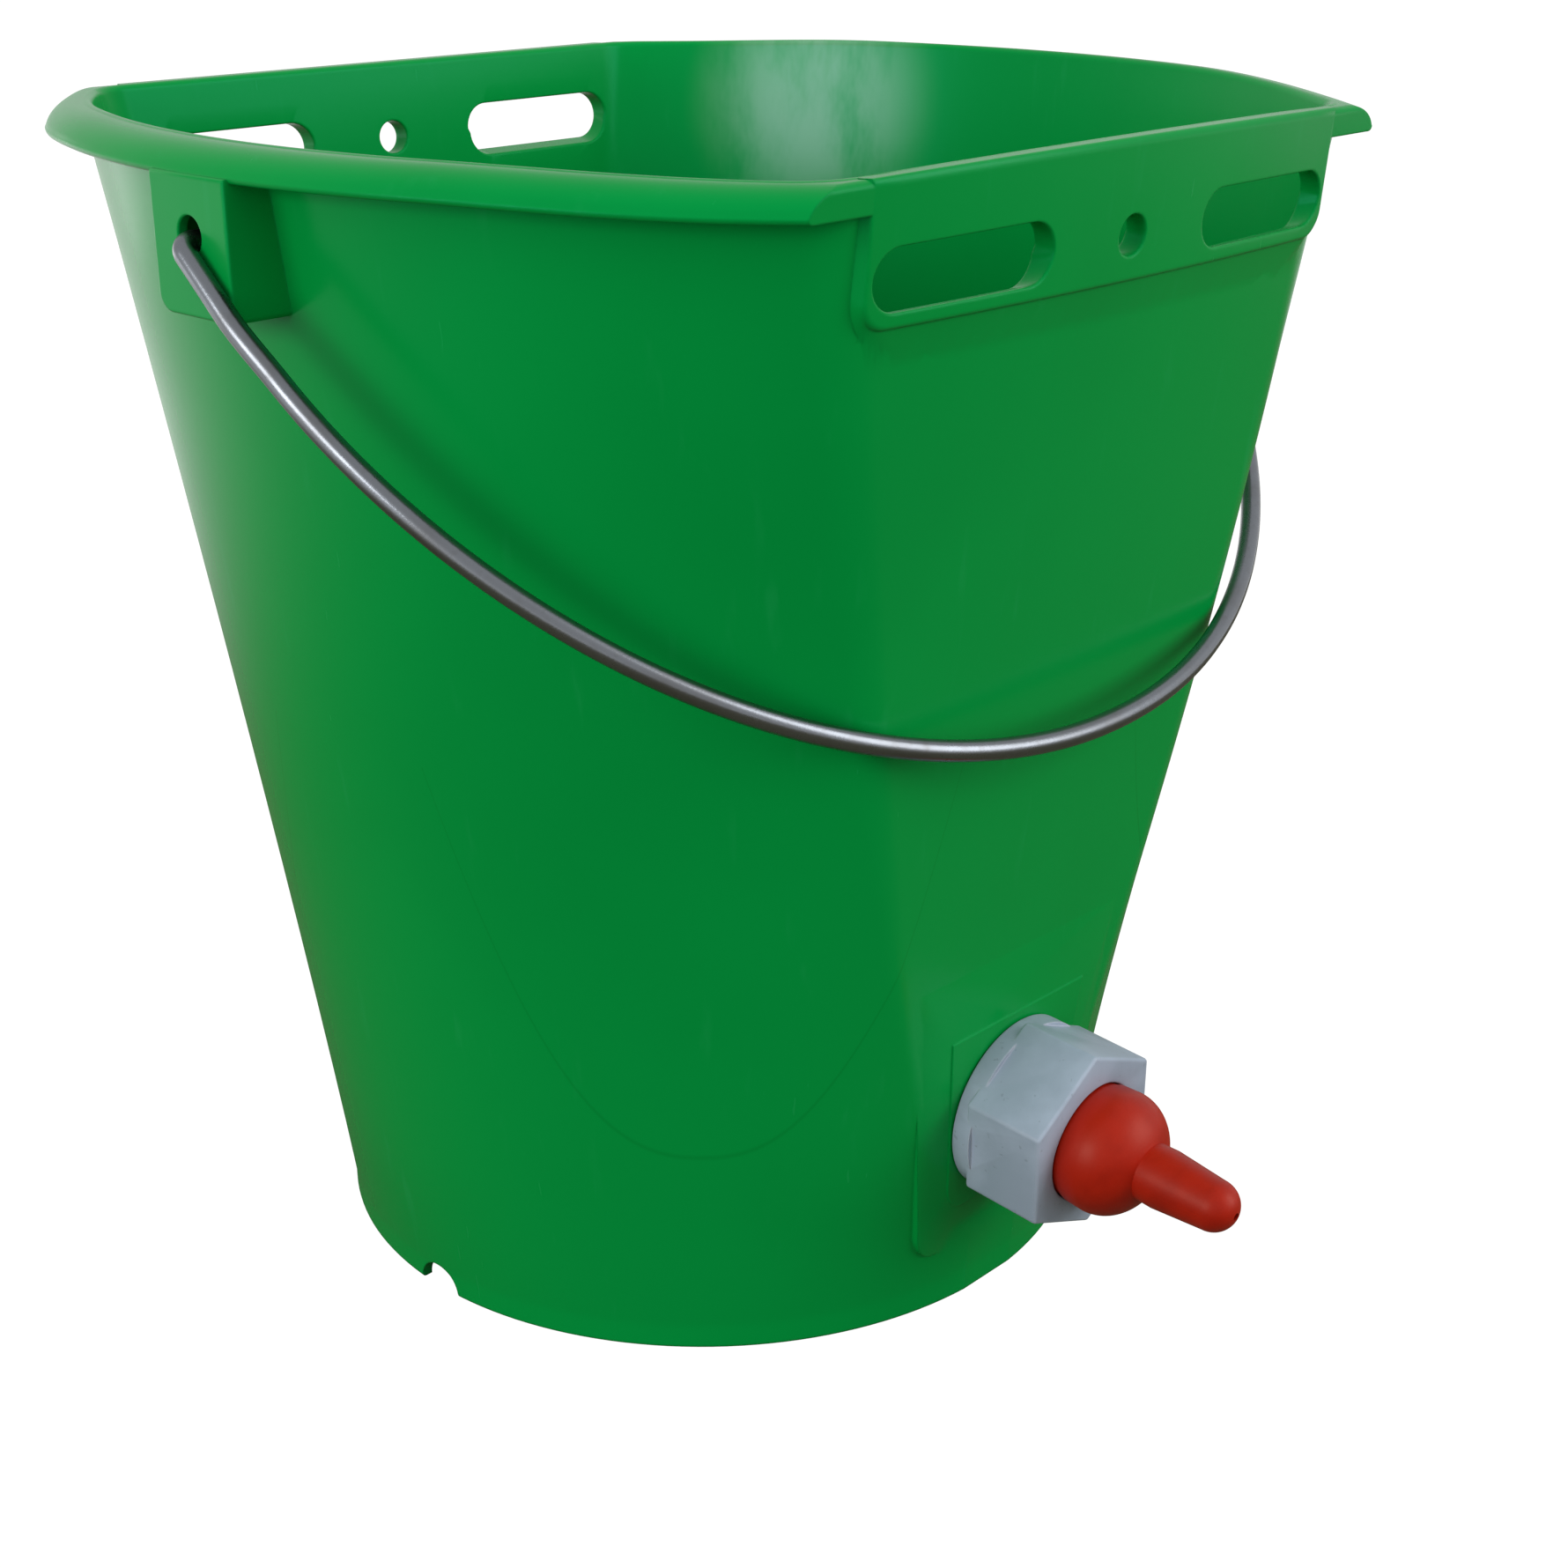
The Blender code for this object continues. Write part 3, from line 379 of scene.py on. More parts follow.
def makeRaised(name, side, form, low, high):
    # a face stands proud of the flat, with slopes down to the wall round it
    halfWidth, edge, topEdge = form["halfWidth"], form["edge"], form["topEdge"]
    foot = roundedOutline(halfWidth + form["sideSlope"], low - form["footSlope"],
                          high + form["topSlope"], form["footCorner"])
    rings = [(-rootDepth, foot), (-raised["buried"], foot)]
    for x, z in unitArc(0, 90, raised["edgeSteps"]):
        outline = roundedOutline(halfWidth - edge * (1 - x), low + edge * (1 - x),
                                 high - topEdge * (1 - x), form["corner"])
        rings.append((form["proud"] - edge * (1 - z), outline))
    placed = []
    middle = (low + high) / 2
    for out, outline in rings:
        spread = [(x * (1.0 + form["taper"] * (z - middle) / halfWidth), z) for x, z in outline]
        placed.append([(-side * x, side * (flatDistance(z) + out), z) for x, z in spread])
    return loft(name, placed)


def makePanel(side):
    return makeRaised("panel%+d" % side, side, panel, wall["height"] - panel["height"],
                      wall["height"] - panel["topDrop"])


# The ears on the outside of the lip
ear = {
    "width": 0.025, "height": 0.0335, "wall": 0.0023, "faceWall": 0.0025,
    "corner": 0.004, "nearCorner": 0.0012, "cornerSteps": 10,
    "proud": 0.0006, "roof": 0.0052, "topDrop": 0.0056, "faceEdge": 0.0006, "faceEdgeSteps": 3,
    "hole": 0.0077, "holeDrop": 0.01735, "holeEdge": 0.0005,
}
earFace = lipCrown + ear["proud"]
earHoleHeight = wall["height"] - ear["holeDrop"]


def makeEar(side):
    half = ear["width"] / 2
    lowX = wall["rimCrown"] - rootDepth
    base = wall["height"] - ear["height"]
    left, right = sorted((side * lowX, side * earFace))
    shape = box("ear%+d" % side, (left, -half, base),
                (right, half, wall["height"] - ear["topDrop"]))
    same = shaping["same"]
    with MeshEdit(shape.data) as body:
        for hand, corner in ((-1, ear["nearCorner"]), (1, ear["corner"])):
            lower = [e for e in body.edges
                     if all(abs(v.co.z - base) < same and v.co.y * hand > 0 for v in e.verts)
                     and abs(e.verts[0].co.y - e.verts[1].co.y) < same]
            bmesh.ops.bevel(body, geom=lower, offset=corner, segments=ear["cornerSteps"],
                            profile=0.5, affect="EDGES")
        face = [e for e in body.edges
                if all(abs(v.co.x - side * earFace) < same for v in e.verts)]
        bmesh.ops.bevel(body, geom=face, offset=ear["faceEdge"],
                        segments=ear["faceEdgeSteps"], profile=0.5, affect="EDGES")
    left, right = sorted((side * (lowX - wall["thickness"]), side * (earFace - ear["faceWall"])))
    room = box(shape.name + "Hollow", (left, -half + ear["wall"], base - ear["height"]),
               (right, half - ear["wall"], wall["height"] - ear["roof"]))
    combine(shape, room, "DIFFERENCE")
    return shape


# Holes, with rounded mouths on both faces
cutter = {
    "clear": 0.00003,        # stands this far off the faces, so that the cut is clean
    "flareSteps": 5, "roundSteps": 48,
    "lowerHalf": -0.00001,   # points below this are on the lower side of the mould's line
}
notch = {"radius": 0.0068, "reach": 0.009, "steps": 64}


def stadium(length, width, centreX):
    radius = width / 2
    reach = length / 2 - radius
    steps = panel["slotSteps"]
    turns = [-90 + 180 * step / steps for step in range(steps + 1)]
    turns.insert(steps // 2, panel["ledgeTurn"])  # a close pair of points makes a crisp ledge
    right = [(centreX + reach + radius * math.cos(math.radians(a)),
              radius * math.sin(math.radians(a))) for a in turns]
    left = [(2 * centreX - x, y) for x, y in reversed(right)]
    return right + left


def slotOutline(centreX):
    return lambda grow: stadium(panel["slotLength"] + 2 * grow, panel["slotWidth"] + 2 * grow,
                                centreX)


def roundOutline(diameter):
    return lambda grow: arc(0.0, 0.0, diameter / 2 + grow, 0, 360, cutter["roundSteps"])[:-1]


def flaredCutter(name, outlineAt, faces, edge, beyond, falls=(0.0, 0.0), middle=0.0):
    # a hole's form: flared by a round edge at both faces, its lower half falling inwards
    back, front = faces[0] - cutter["clear"], faces[1] + cutter["clear"]
    fall, ledge = falls
    steps = cutter["flareSteps"]
    rings = [(back - beyond, edge)]
    rings += [(back + edge * (1 + x), edge * (1 - z)) for x, z in unitArc(180, 90, steps)]
    rings += [(front - edge * (1 - x), edge * (1 - z)) for x, z in unitArc(90, 0, steps)]
    rings.append((front + beyond, edge))
    placed = []
    for z, grow in rings:
        depth = min(max((front - edge - z) / (front - edge - back), 0.0), 1.0)
        ring = []
        for x, y in outlineAt(grow):
            if y < cutter["lowerHalf"]:  # the two halves of the mould part on the middle line
                y -= fall * depth
                x -= math.copysign(ledge * depth, x - middle)
            ring.append((x, y, z))
        placed.append(ring)
    return loft(name, placed)


def piercePanels(shell):
    faces = (-wall["thickness"] * math.cos(flatTilt), panel["proud"] * math.cos(flatTilt))
    edge, beyond = panel["slotEdge"], panel["holeBeyond"]
    for side in (-1, 1):
        place = flatMatrix(side, wall["height"] - panel["slotDrop"])
        for hand in (-1, 1):
            centreX = hand * panel["slotSpacing"] / 2
            slot = flaredCutter("slot%+d%+d" % (side, hand), slotOutline(centreX), faces, edge,
                                beyond, (panel["slotFall"], panel["slotLedge"]), centreX)
            slot.matrix_basis = place
            combine(shell, slot, "DIFFERENCE")
        peg = flaredCutter("peg%+d" % side, roundOutline(panel["pegHole"]), faces, edge, beyond)
        peg.matrix_basis = place
        combine(shell, peg, "DIFFERENCE")


def pierceEars(shell):
    for side in (-1, 1):
        hole = flaredCutter("wireHole%+d" % side, roundOutline(ear["hole"]),
                            (-ear["faceWall"], 0.0), ear["holeEdge"], ear["faceWall"])
        place = Matrix.Translation((side * earFace, 0.0, earHoleHeight))
        hole.matrix_basis = place @ Matrix.Rotation(side * math.pi / 2, 4, "Y")
        combine(shell, hole, "DIFFERENCE")


def pierceFoot(shell):
    for side in (-1, 1):
        drain = cylinder("drainNotch%+d" % side, notch["radius"], -notch["reach"],
                         notch["reach"], notch["steps"])
        place = Matrix.Translation((side * wall["footRadius"], 0.0, 0.0))
        drain.matrix_basis = place @ Matrix.Rotation(math.pi / 2, 4, "Y")
        combine(shell, drain, "DIFFERENCE")


# What this bucket has lost of its true shape: the front flat bows, the rim dips at the flats
bow = {
    "out": 0.0034, "width": 0.0765, "low": 0.09, "high": 0.25, "lift": 0.0010,
    "liftFrom": 0.24, "front": -0.05, "strips": 26, "stripsAbove": 0.20,
}
dip = {"drop": 0.0015, "innerShare": 0.4}


def bowFront(mesh):
    width = bow["width"]
    with MeshEdit(mesh) as body:
        for step in range(1, bow["strips"]):
            x = width * (2 * step / bow["strips"] - 1)
            near = [f for f in body.faces if f.calc_center_median().y < bow["front"]
                    and max(v.co.z for v in f.verts) > bow["stripsAbove"]]
            parts = set(near)
            for face in near:
                parts.update(face.edges)
                parts.update(face.verts)
            bmesh.ops.bisect_plane(body, geom=list(parts), plane_co=(x, 0.0, 0.0),
                                   plane_no=(1.0, 0.0, 0.0), dist=shaping["same"])
    for vert in mesh.vertices:
        x, y, z = vert.co
        if y < bow["front"] and abs(x) < width:
            belly = 1.0 - (x / width) ** 2
            vert.co.y = y - bow["out"] * belly * ease(z, bow["low"], bow["high"])
            vert.co.z = z + bow["lift"] * belly * ease(z, bow["liftFrom"], wall["height"])


def dipRim(mesh):
    slope = math.tan(flatTilt)
    for vert in mesh.vertices:
        x, y, z = vert.co
        along = ease(abs(y), wall["rimCrown"] * dip["innerShare"],
                     wall["rimFlat"] - wall["thickness"])
        rise = ease(z, wall["height"] - ear["height"], wall["height"] - lip["depth"])
        drop = dip["drop"] * along * rise
        vert.co.z = z - drop
        vert.co.y = y - math.copysign(slope * drop, y)


# Where the valve goes through the wall
valve = {
    "height": 0.0524, "gap": 0.0003, "spigotRadius": 0.0163, "threadGap": 0.0004,
    "boreGap": 0.0003, "boreReach": 0.012, "boreSteps": 72,
}


def makeShell():
    shell = makeWall()
    for side in (-1, 1):
        combine(shell, makeLip(side), "UNION")
        combine(shell, makeEar(side), "UNION")
    for side in (-1, 1):
        combine(shell, makePanel(side), "UNION")
    valveLand = makeRaised("valveLand", -1, land, land["bottom"], land["top"])
    combine(shell, valveLand, "UNION")
    combine(shell, makeCavity(), "DIFFERENCE")
    combine(shell, makeRecess(), "DIFFERENCE")
    piercePanels(shell)
    pierceEars(shell)
    pierceFoot(shell)
    bore = cylinder("spigotHole", valve["spigotRadius"] + valve["boreGap"], -valve["boreReach"],
                    valve["boreReach"], valve["boreSteps"])
    bore.matrix_basis = flatMatrix(-1, valve["height"], land["proud"])
    combine(shell, bore, "DIFFERENCE")
    settle(shell, shaping["crease"])
    dipRim(shell.data)
    bowFront(shell.data)
    evenNormals(shell)
    shell.data.transform(toAxis)
    return shell


# The wire bail, which rests leaning towards the front
bail = {
    "wire": 0.0048, "depth": 0.1630, "leg": 0.020, "straight": 0.017, "ease": 0.036,
    "pull": 0.0011, "roundness": 0.965, "bend": 0.0032, "hook": 0.005,
    "swing": math.radians(48.689), "gap": 0.0001, "arcSteps": 72, "bendSteps": 12,
    "wireSteps": 7, "weld": 0.00001, "crease": 50.0,
}
pivotHeight = earHoleHeight - ear["hole"] / 2 + bail["wire"] / 2 + bail["gap"]
bailHalfSpan = earFace + bail["wire"] / 2 + bail["gap"]


def bailPath():
    # (across, down) from hook to hook, through the ears and round below
    bend, hook = bail["bend"], bail["bend"] + bail["hook"]
    hookX = earFace - ear["faceWall"] - bend - 2 * bail["gap"]
    end = [(hookX, hook), (hookX, bend + bail["hook"] / 2)]
    end += arc(hookX + bend, bend, bend, 180, 270, bail["bendSteps"])
    end += arc(bailHalfSpan - bend, bend, bend, 270, 360, bail["bendSteps"])
    left, right = list(end), list(end)
    for step in range(bail["arcSteps"] + 1):
        angle = math.pi / 2 * step / bail["arcSteps"]
        across = max(math.cos(angle), 0.0)
        down = bail["leg"] + (bail["depth"] - bail["leg"]) * math.sin(angle)
        # the left leg is pulled in a little past its ear, the right one bellies out
        pulled = bail["pull"] * ease(down, bail["straight"], bail["ease"])
        left.append((across * bailHalfSpan - across * pulled, down))
        right.append((bailHalfSpan * across ** bail["roundness"], down))
    return [(-x, down) for x, down in left] + list(reversed(right[:-1]))


def makeBail():
    path = bailPath()
    curve = bpy.data.curves.new("bailWire", "CURVE")
    curve.dimensions = "3D"
    curve.bevel_depth = bail["wire"] / 2
    curve.bevel_resolution = bail["wireSteps"]
    curve.use_fill_caps = True
    curve.resolution_u = 1
    spline = curve.splines.new("POLY")
    spline.points.add(len(path) - 1)
    for point, (x, down) in zip(spline.points, path):
        point.co = (x, 0.0, -down, 1.0)
    guide = linked("bailGuide", curve)
    mesh = shapedMesh(guide)
    bpy.data.objects.remove(guide, do_unlink=True)
    with MeshEdit(mesh) as body:
        bmesh.ops.remove_doubles(body, verts=body.verts, dist=bail["weld"])
        bmesh.ops.recalc_face_normals(body, faces=body.faces)
    mesh.transform(toAxis @ Matrix.Translation((0.0, 0.0, pivotHeight))
                   @ Matrix.Rotation(-bail["swing"], 4, "X"))
    shadeSmooth(mesh, bail["crease"])
    return linked("bailWire", mesh)


# The union nut; nut and teat are measured outwards from the land's face
nut = {
    "flats": 0.042, "hexLength": 0.021, "collarRadius": 0.022, "collarLength": 0.0035,
    "lip": 0.0032, "mouth": 0.0148, "mouthEdge": 0.0006, "edge": 0.0008, "edgeSteps": 4,
    "turnSteps": 144, "restTurn": math.radians(7.0),
}
valveFrame = toAxis @ flatMatrix(-1, valve["height"], land["proud"])
nutBack = valve["gap"]
hexBack = nutBack + nut["collarLength"]
nutFront = hexBack + nut["hexLength"]


def makeNut():
    across = nut["flats"] / 2 / math.cos(math.pi / 6)
    edge, steps = nut["edge"], nut["edgeSteps"]
    body = cylinder("hexNut", across, hexBack, nutFront, 6)
    bevel = body.modifiers.new("edges", "BEVEL")
    bevel.width = edge
    bevel.segments = steps
    bevel.limit_method = "ANGLE"
    bore = valve["spigotRadius"] + valve["threadGap"]
    overlap = hexBack + edge * 2  # the collar runs on into the hexagon
    profile = [(bore / 2, overlap), (nut["collarRadius"], overlap)]
    profile += arc(nut["collarRadius"] - edge / 2, nutBack + edge / 2, edge / 2, 0, -90, steps)
    profile += [(bore / 2, nutBack)]
    collar = turned("nutCollar", profile, nut["turnSteps"])
    boreEnd = nutFront - nut["lip"]
    mouth, mouthEdge = nut["mouth"], nut["mouthEdge"]
    profile = [(0.0, nutFront + nut["lip"]), (mouth + mouthEdge, nutFront + nut["lip"]),
               (mouth + mouthEdge, nutFront)]
    profile += [(mouth + mouthEdge * (1 + x), nutFront - mouthEdge * (1 - y))
                for x, y in unitArc(90, 180, steps)[1:]]
    profile += [(mouth, boreEnd), (bore, boreEnd), (bore, nutBack - nut["lip"]),
                (0.0, nutBack - nut["lip"])]
    hollow = turned("nutHollow", profile, nut["turnSteps"])
    combine(body, collar, "UNION")
    combine(body, hollow, "DIFFERENCE")
    settle(body, shaping["crease"])
    body.data.transform(valveFrame @ Matrix.Rotation(nut["restTurn"], 4, "Z"))
    return body


# The rubber teat
teat = {
    "flangeRadius": 0.016, "flange": 0.0026, "neck": 0.0145, "neckSwell": 0.7,
    "neckRise": 0.0015, "bulb": 0.0153, "bulbLength": 0.018, "dome": 0.68, "domeMeet": 0.98,
    "nipple": 0.0073, "nippleFoot": 0.45, "tip": 0.0062, "reach": 0.0402,
    "wall": 0.0025, "innerEnd": 20, "passage": 0.0035, "mouth": 0.0009,
    "tipSteps": 16, "domeSteps": 20, "turnSteps": 96, "crease": 50.0,
}
teatBack = nutFront - nut["lip"] - valve["gap"] - teat["flange"]
teatEnd = nutFront + teat["reach"]


def teatProfile():
    neck, bulb, tip, thick = teat["neck"], teat["bulb"], teat["tip"], teat["wall"]
    shoulder = nutFront + teat["bulbLength"]
    flangeFront = teatBack + teat["flange"]
    outer = [(teat["mouth"], teatEnd)]
    for x, z in unitArc(90, 0, teat["tipSteps"])[1:]:
        outer.append((max(tip * x, teat["mouth"]), teatEnd - tip * (1 - z)))
    outer.append((teat["nipple"], shoulder + tip * teat["nippleFoot"]))
    domeDepth = teat["bulbLength"] * teat["dome"]
    domeBack = shoulder - domeDepth
    meet = math.asin(teat["nipple"] * teat["domeMeet"] / bulb)
    steps = teat["domeSteps"]
    for step in range(steps + 1):
        angle = meet + (math.pi / 2 - meet) * step / steps
        outer.append((bulb * math.sin(angle), domeBack + domeDepth * math.cos(angle)))
    outer.append((neck + (bulb - neck) * teat["neckSwell"], nutFront + teat["neckRise"]))
    outer += [(neck, nutFront), (neck, flangeFront),
              (teat["flangeRadius"], flangeFront), (teat["flangeRadius"], teatBack)]
    inner = [(neck - thick, teatBack), (neck - thick, nutFront)]
    for step in range(steps + 1):
        angle = math.pi / 2 + (math.radians(teat["innerEnd"]) - math.pi / 2) * step / steps
        inner.append(((bulb - thick) * math.sin(angle),
                      domeBack + (domeDepth - thick) * math.cos(angle)))
    inner += [(teat["passage"], shoulder), (teat["passage"], teatEnd - tip),
              (teat["mouth"], teatEnd - thick)]
    return outer + inner


def makeTeat():
    body = turned("rubberTeat", teatProfile(), teat["turnSteps"])
    settle(body, teat["crease"])
    body.data.transform(valveFrame)
    return body


# Finishes: nodes are added one at a time, and sums are written as plain expressions
class Signal:
    # a node's output that takes part in sums as a number does
    def __init__(self, nodes, socket):
        self.nodes = nodes
        self.socket = socket

    def math(self, operation, *terms):
        return self.nodes.add("Math", {"operation": operation}, dict(enumerate(terms)))

    def __add__(self, other):
        return self.math("ADD", self, other)

    def __radd__(self, other):
        return self.math("ADD", other, self)

    def __sub__(self, other):
        return self.math("SUBTRACT", self, other)

    def __rsub__(self, other):
        return self.math("SUBTRACT", other, self)

    def __mul__(self, other):
        return self.math("MULTIPLY", self, other)

    def __rmul__(self, other):
        return self.math("MULTIPLY", other, self)

    def __truediv__(self, other):
        return self.math("DIVIDE", self, other)

    def __rtruediv__(self, other):
        return self.math("DIVIDE", other, self)

    def __pow__(self, other):
        return self.math("POWER", self, other)

    def __rpow__(self, other):
        return self.math("POWER", other, self)

    def __abs__(self):
        return self.math("ABSOLUTE", self)

    def __lt__(self, other):
        return self.math("LESS_THAN", self, other)

    def __gt__(self, other):
        return self.math("GREATER_THAN", self, other)

    def smooth(self, low, high):
        return self.nodes.add("MapRange", {"interpolation_type": "SMOOTHSTEP"},
                              {"Value": self, "From Min": low, "From Max": high})


class Nodes:
    # the nodes of one material or of the world
    def __init__(self, owner):
        owner.use_nodes = True
        self.tree = owner.node_tree

    def fill(self, node, values):
        for key, value in values.items():
            socket = node.inputs[key]
            if isinstance(value, Signal):
                self.tree.links.new(value.socket, socket)
            elif socket.type == "RGBA":
                socket.default_value = (*value, 1.0)
            else:
                socket.default_value = value

    def add(self, kind, settings=None, values=None, out=0):
        # settings come first, since they decide which sockets a node has
        made = self.tree.nodes.new("ShaderNode" + kind)
        for key, value in (settings or {}).items():
            setattr(made, key, value)
        self.fill(made, values or {})
        return Signal(self, made.outputs[out])

    def place(self):
        return self.add("TexCoord", out="Object")

    def vector(self, operation, first, second=(0.0, 0.0, 0.0), out="Value"):
        return self.add("VectorMath", {"operation": operation}, {0: first, 1: second}, out)


class Finish(Nodes):
    # a material with one Principled shader; what is fixed all over is set on its own sockets
    def __init__(self, name, fixed):
        self.material = bpy.data.materials.new(name)
        super().__init__(self.material)
        self.shader = self.tree.nodes["Principled BSDF"]
        self.fill(self.shader, fixed)

    def noise(self, place, scale, detail, roughness=0.5, stretch=None):
        if stretch:
            place = self.add("Mapping", values={"Vector": place, "Scale": (1.0, 1.0, stretch)})
        return self.add("TexNoise", values={"Vector": place, "Scale": scale, "Detail": detail,
                                            "Roughness": roughness})

    def blend(self, share, first, second):
        return self.add("Mix", {"data_type": "RGBA", "blend_type": "MIX"},
                        {0: share, 6: first, 7: second}, out=2)

    def bump(self, height, strength, distance, **under):
        return self.add("Bump", values={"Height": height, "Strength": strength,
                                        "Distance": distance, **under})

    def feed(self, colour, rough, normal):
        self.fill(self.shader, {"Base Color": colour, "Roughness": rough, "Normal": normal})
        return self.material


# In the looks, a noise is (scale, detail, roughness) with its upright stretch after that, a
# range is where a mask starts and ends, and a bump is (strength, depth)
greenLook = {
    "green": (0.0008, 0.284, 0.046), "deep": (0.0005, 0.248, 0.039), "scuff": (0.03, 0.38, 0.14),
    "specular": 0.17, "ior": 1.49, "sheen": (0.12, 1.0, 0.80), "edge": 0.0007, "edgeRays": 4,
    "cloud": (9.0, 3.0), "cloudRange": (0.35, 0.7), "cloudShare": 0.7,
    "flow": (160.0, 3.0, 0.5, 0.12), "flowRange": (0.62, 0.80), "flowShare": 0.12,
    "fine": (900.0, 3.0, 0.6), "bump": (0.045, 0.0002), "bumpFlow": 0.5,
    "scratch": (700.0, 1.0, 0.5, 0.05), "scratchRange": (0.73, 0.80), "scratchShare": 0.12,
    "patch": (26.0, 2.0), "patchRange": (0.55, 0.7),
    "rough": 0.17, "roughCloud": 0.08, "roughFine": 0.06, "roughScratch": 0.10,
}
paintedReflectionLine = {  # painted reflection: a faint darker U-shaped line low on the wall
    "colour": (0.0002, 0.17, 0.022), "share": 0.30, "turn": 43.4, "low": 0.0563, "high": 0.15,
    "open": 4.95, "power": 2.5, "rise": 0.001, "width": 0.0011,
}
longScratch = {  # one longer scratch under the rim
    "start": (-0.1302, -0.0018, 0.2689), "way": (0.2202, -0.6568, -0.7208),
    "length": 0.0163, "width": 0.0004, "share": 0.5,
}
paintedHighlight = {  # painted highlight: a pale reflection of the left lamp on the inner wall at the far corner
    "colour": (0.30, 0.50, 0.38), "share": 0.75, "place": (0.113, 0.089, 0.264),
    "way": (-0.91, -0.38, 0.15), "facing": 0.5, "core": 0.008, "reach": 0.040,
    "streak": (60.0, 4.0, 0.6, 0.4), "streakRange": (0.15, 0.65),
}


# painted reflection: a darker U-shaped line on the wall, below a given height
def paintedReflectionMask(finish, place):
    axes = finish.add("SeparateXYZ", values={0: place}).socket.node.outputs
    x, y, z = [Signal(finish, socket) for socket in axes]
    turn = x.math("ARCTAN2", abs(y - wall["axisY"]), abs(x)) * math.degrees(1.0)
    opened = abs(turn - paintedReflectionLine["turn"]) / paintedReflectionLine["open"]
    away = abs(z - paintedReflectionLine["low"] - opened ** paintedReflectionLine["power"] * paintedReflectionLine["rise"])
    return (1.0 - away.smooth(0.0, paintedReflectionLine["width"])) * (z < paintedReflectionLine["high"])


def longScratchMask(finish, place):
    offset = finish.vector("SUBTRACT", place, longScratch["start"], out="Vector")
    along = finish.vector("DOT_PRODUCT", offset, longScratch["way"])
    across = finish.vector("CROSS_PRODUCT", offset, longScratch["way"], out="Vector")
    line = 1.0 - finish.vector("LENGTH", across).smooth(0.0, longScratch["width"])
    return line * (along > 0.0) * (along < longScratch["length"])


# painted highlight: a pale streaky patch on the inner wall, where it faces the given way
def paintedHighlightMask(finish, place):
    near = finish.vector("DISTANCE", place, paintedHighlight["place"])
    normal = finish.add("NewGeometry", out="Normal")
    inside = finish.vector("DOT_PRODUCT", normal, paintedHighlight["way"])
    streak = finish.noise(place, *paintedHighlight["streak"]).smooth(*paintedHighlight["streakRange"])
    return (1.0 - near.smooth(paintedHighlight["core"], paintedHighlight["reach"])) * streak * (inside > paintedHighlight["facing"])


def makeGreen():
    look = greenLook
    finish = Finish("greenPlastic", {"Specular IOR Level": look["specular"], "IOR": look["ior"],
                                     "Specular Tint": look["sheen"]})
    place = finish.place()
    cloud = finish.noise(place, *look["cloud"])
    flow = finish.noise(place, *look["flow"])
    fine = finish.noise(place, *look["fine"])
    scratch = finish.noise(place, *look["scratch"]).smooth(*look["scratchRange"])
    scratch = scratch * finish.noise(place, *look["patch"]).smooth(*look["patchRange"])
    colour = finish.blend(cloud.smooth(*look["cloudRange"]) * look["cloudShare"],
                          look["green"], look["deep"])
    for share, shade in (
            (flow.smooth(*look["flowRange"]) * look["flowShare"], look["scuff"]),
            (scratch * look["scratchShare"], look["scuff"]),
            # the painted reflection line
            (paintedReflectionMask(finish, place) * paintedReflectionLine["share"], paintedReflectionLine["colour"]),
            (longScratchMask(finish, place) * longScratch["share"], look["scuff"]),
            # the painted highlight on the inner wall
            (paintedHighlightMask(finish, place) * paintedHighlight["share"], paintedHighlight["colour"])):
        colour = finish.blend(share, colour, shade)
    rough = (look["rough"] + cloud * look["roughCloud"] + fine * look["roughFine"]
             + scratch * look["roughScratch"])
    soft = finish.add("Bevel", {"samples": look["edgeRays"]}, {"Radius": look["edge"]})
    normal = finish.bump(fine + flow * look["bumpFlow"], *look["bump"], Normal=soft)
    return finish.feed(colour, rough, normal)


wireLook = {
    "zinc": (0.21, 0.225, 0.25), "dull": (0.13, 0.125, 0.12),
    "spangle": (420.0, 3.0), "spangleRange": (0.5, 0.8), "spangleShare": 0.25,
    "tarnish": (38.0, 3.0), "tarnishRange": (0.45, 0.72), "tarnishShare": 0.6,
    "drawn": (1800.0, 2.0), "bump": (0.08, 0.0002), "bumpSpangle": 0.6,
    "rough": 0.24, "roughTarnish": 0.08, "roughSpangle": 0.08,
}


def makeZinc():
    look = wireLook
    finish = Finish("zincWire", {"Metallic": 1.0})
    place = finish.place()
    spangle = finish.noise(place, *look["spangle"])
    drawn = finish.noise(place, *look["drawn"])
    tarnish = finish.noise(place, *look["tarnish"]).smooth(*look["tarnishRange"])
    share = (tarnish * look["tarnishShare"]
             + spangle.smooth(*look["spangleRange"]) * look["spangleShare"])
    rough = look["rough"] + tarnish * look["roughTarnish"] + spangle * look["roughSpangle"]
    normal = finish.bump(drawn + spangle * look["bumpSpangle"], *look["bump"])
    return finish.feed(finish.blend(share, look["zinc"], look["dull"]), rough, normal)


nutLook = {
    "grey": (0.285, 0.345, 0.435), "pale": (0.37, 0.44, 0.55), "grime": (0.16, 0.19, 0.22),
    # the pale edge colour is a painted highlight on the hexagon's edges
    "paintedEdgeHighlight": (0.62, 0.67, 0.76), "specular": 0.45, "edge": 0.0006, "edgeRays": 4,
    "cloud": (60.0, 4.0), "cloudRange": (0.4, 0.75),
    "speck": (520.0, 2.0), "speckRange": (0.68, 0.74), "speckShare": 0.4,
    "paintedEdgeHighlightRange": (0.90, 0.995), "paintedEdgeHighlightShare": 0.6,
    "fine": (1400.0, 3.0, 0.6), "bump": (0.10, 0.0003), "bumpCloud": 2.0,
    "rough": 0.34, "roughCloud": 0.12, "roughFine": 0.06,
}


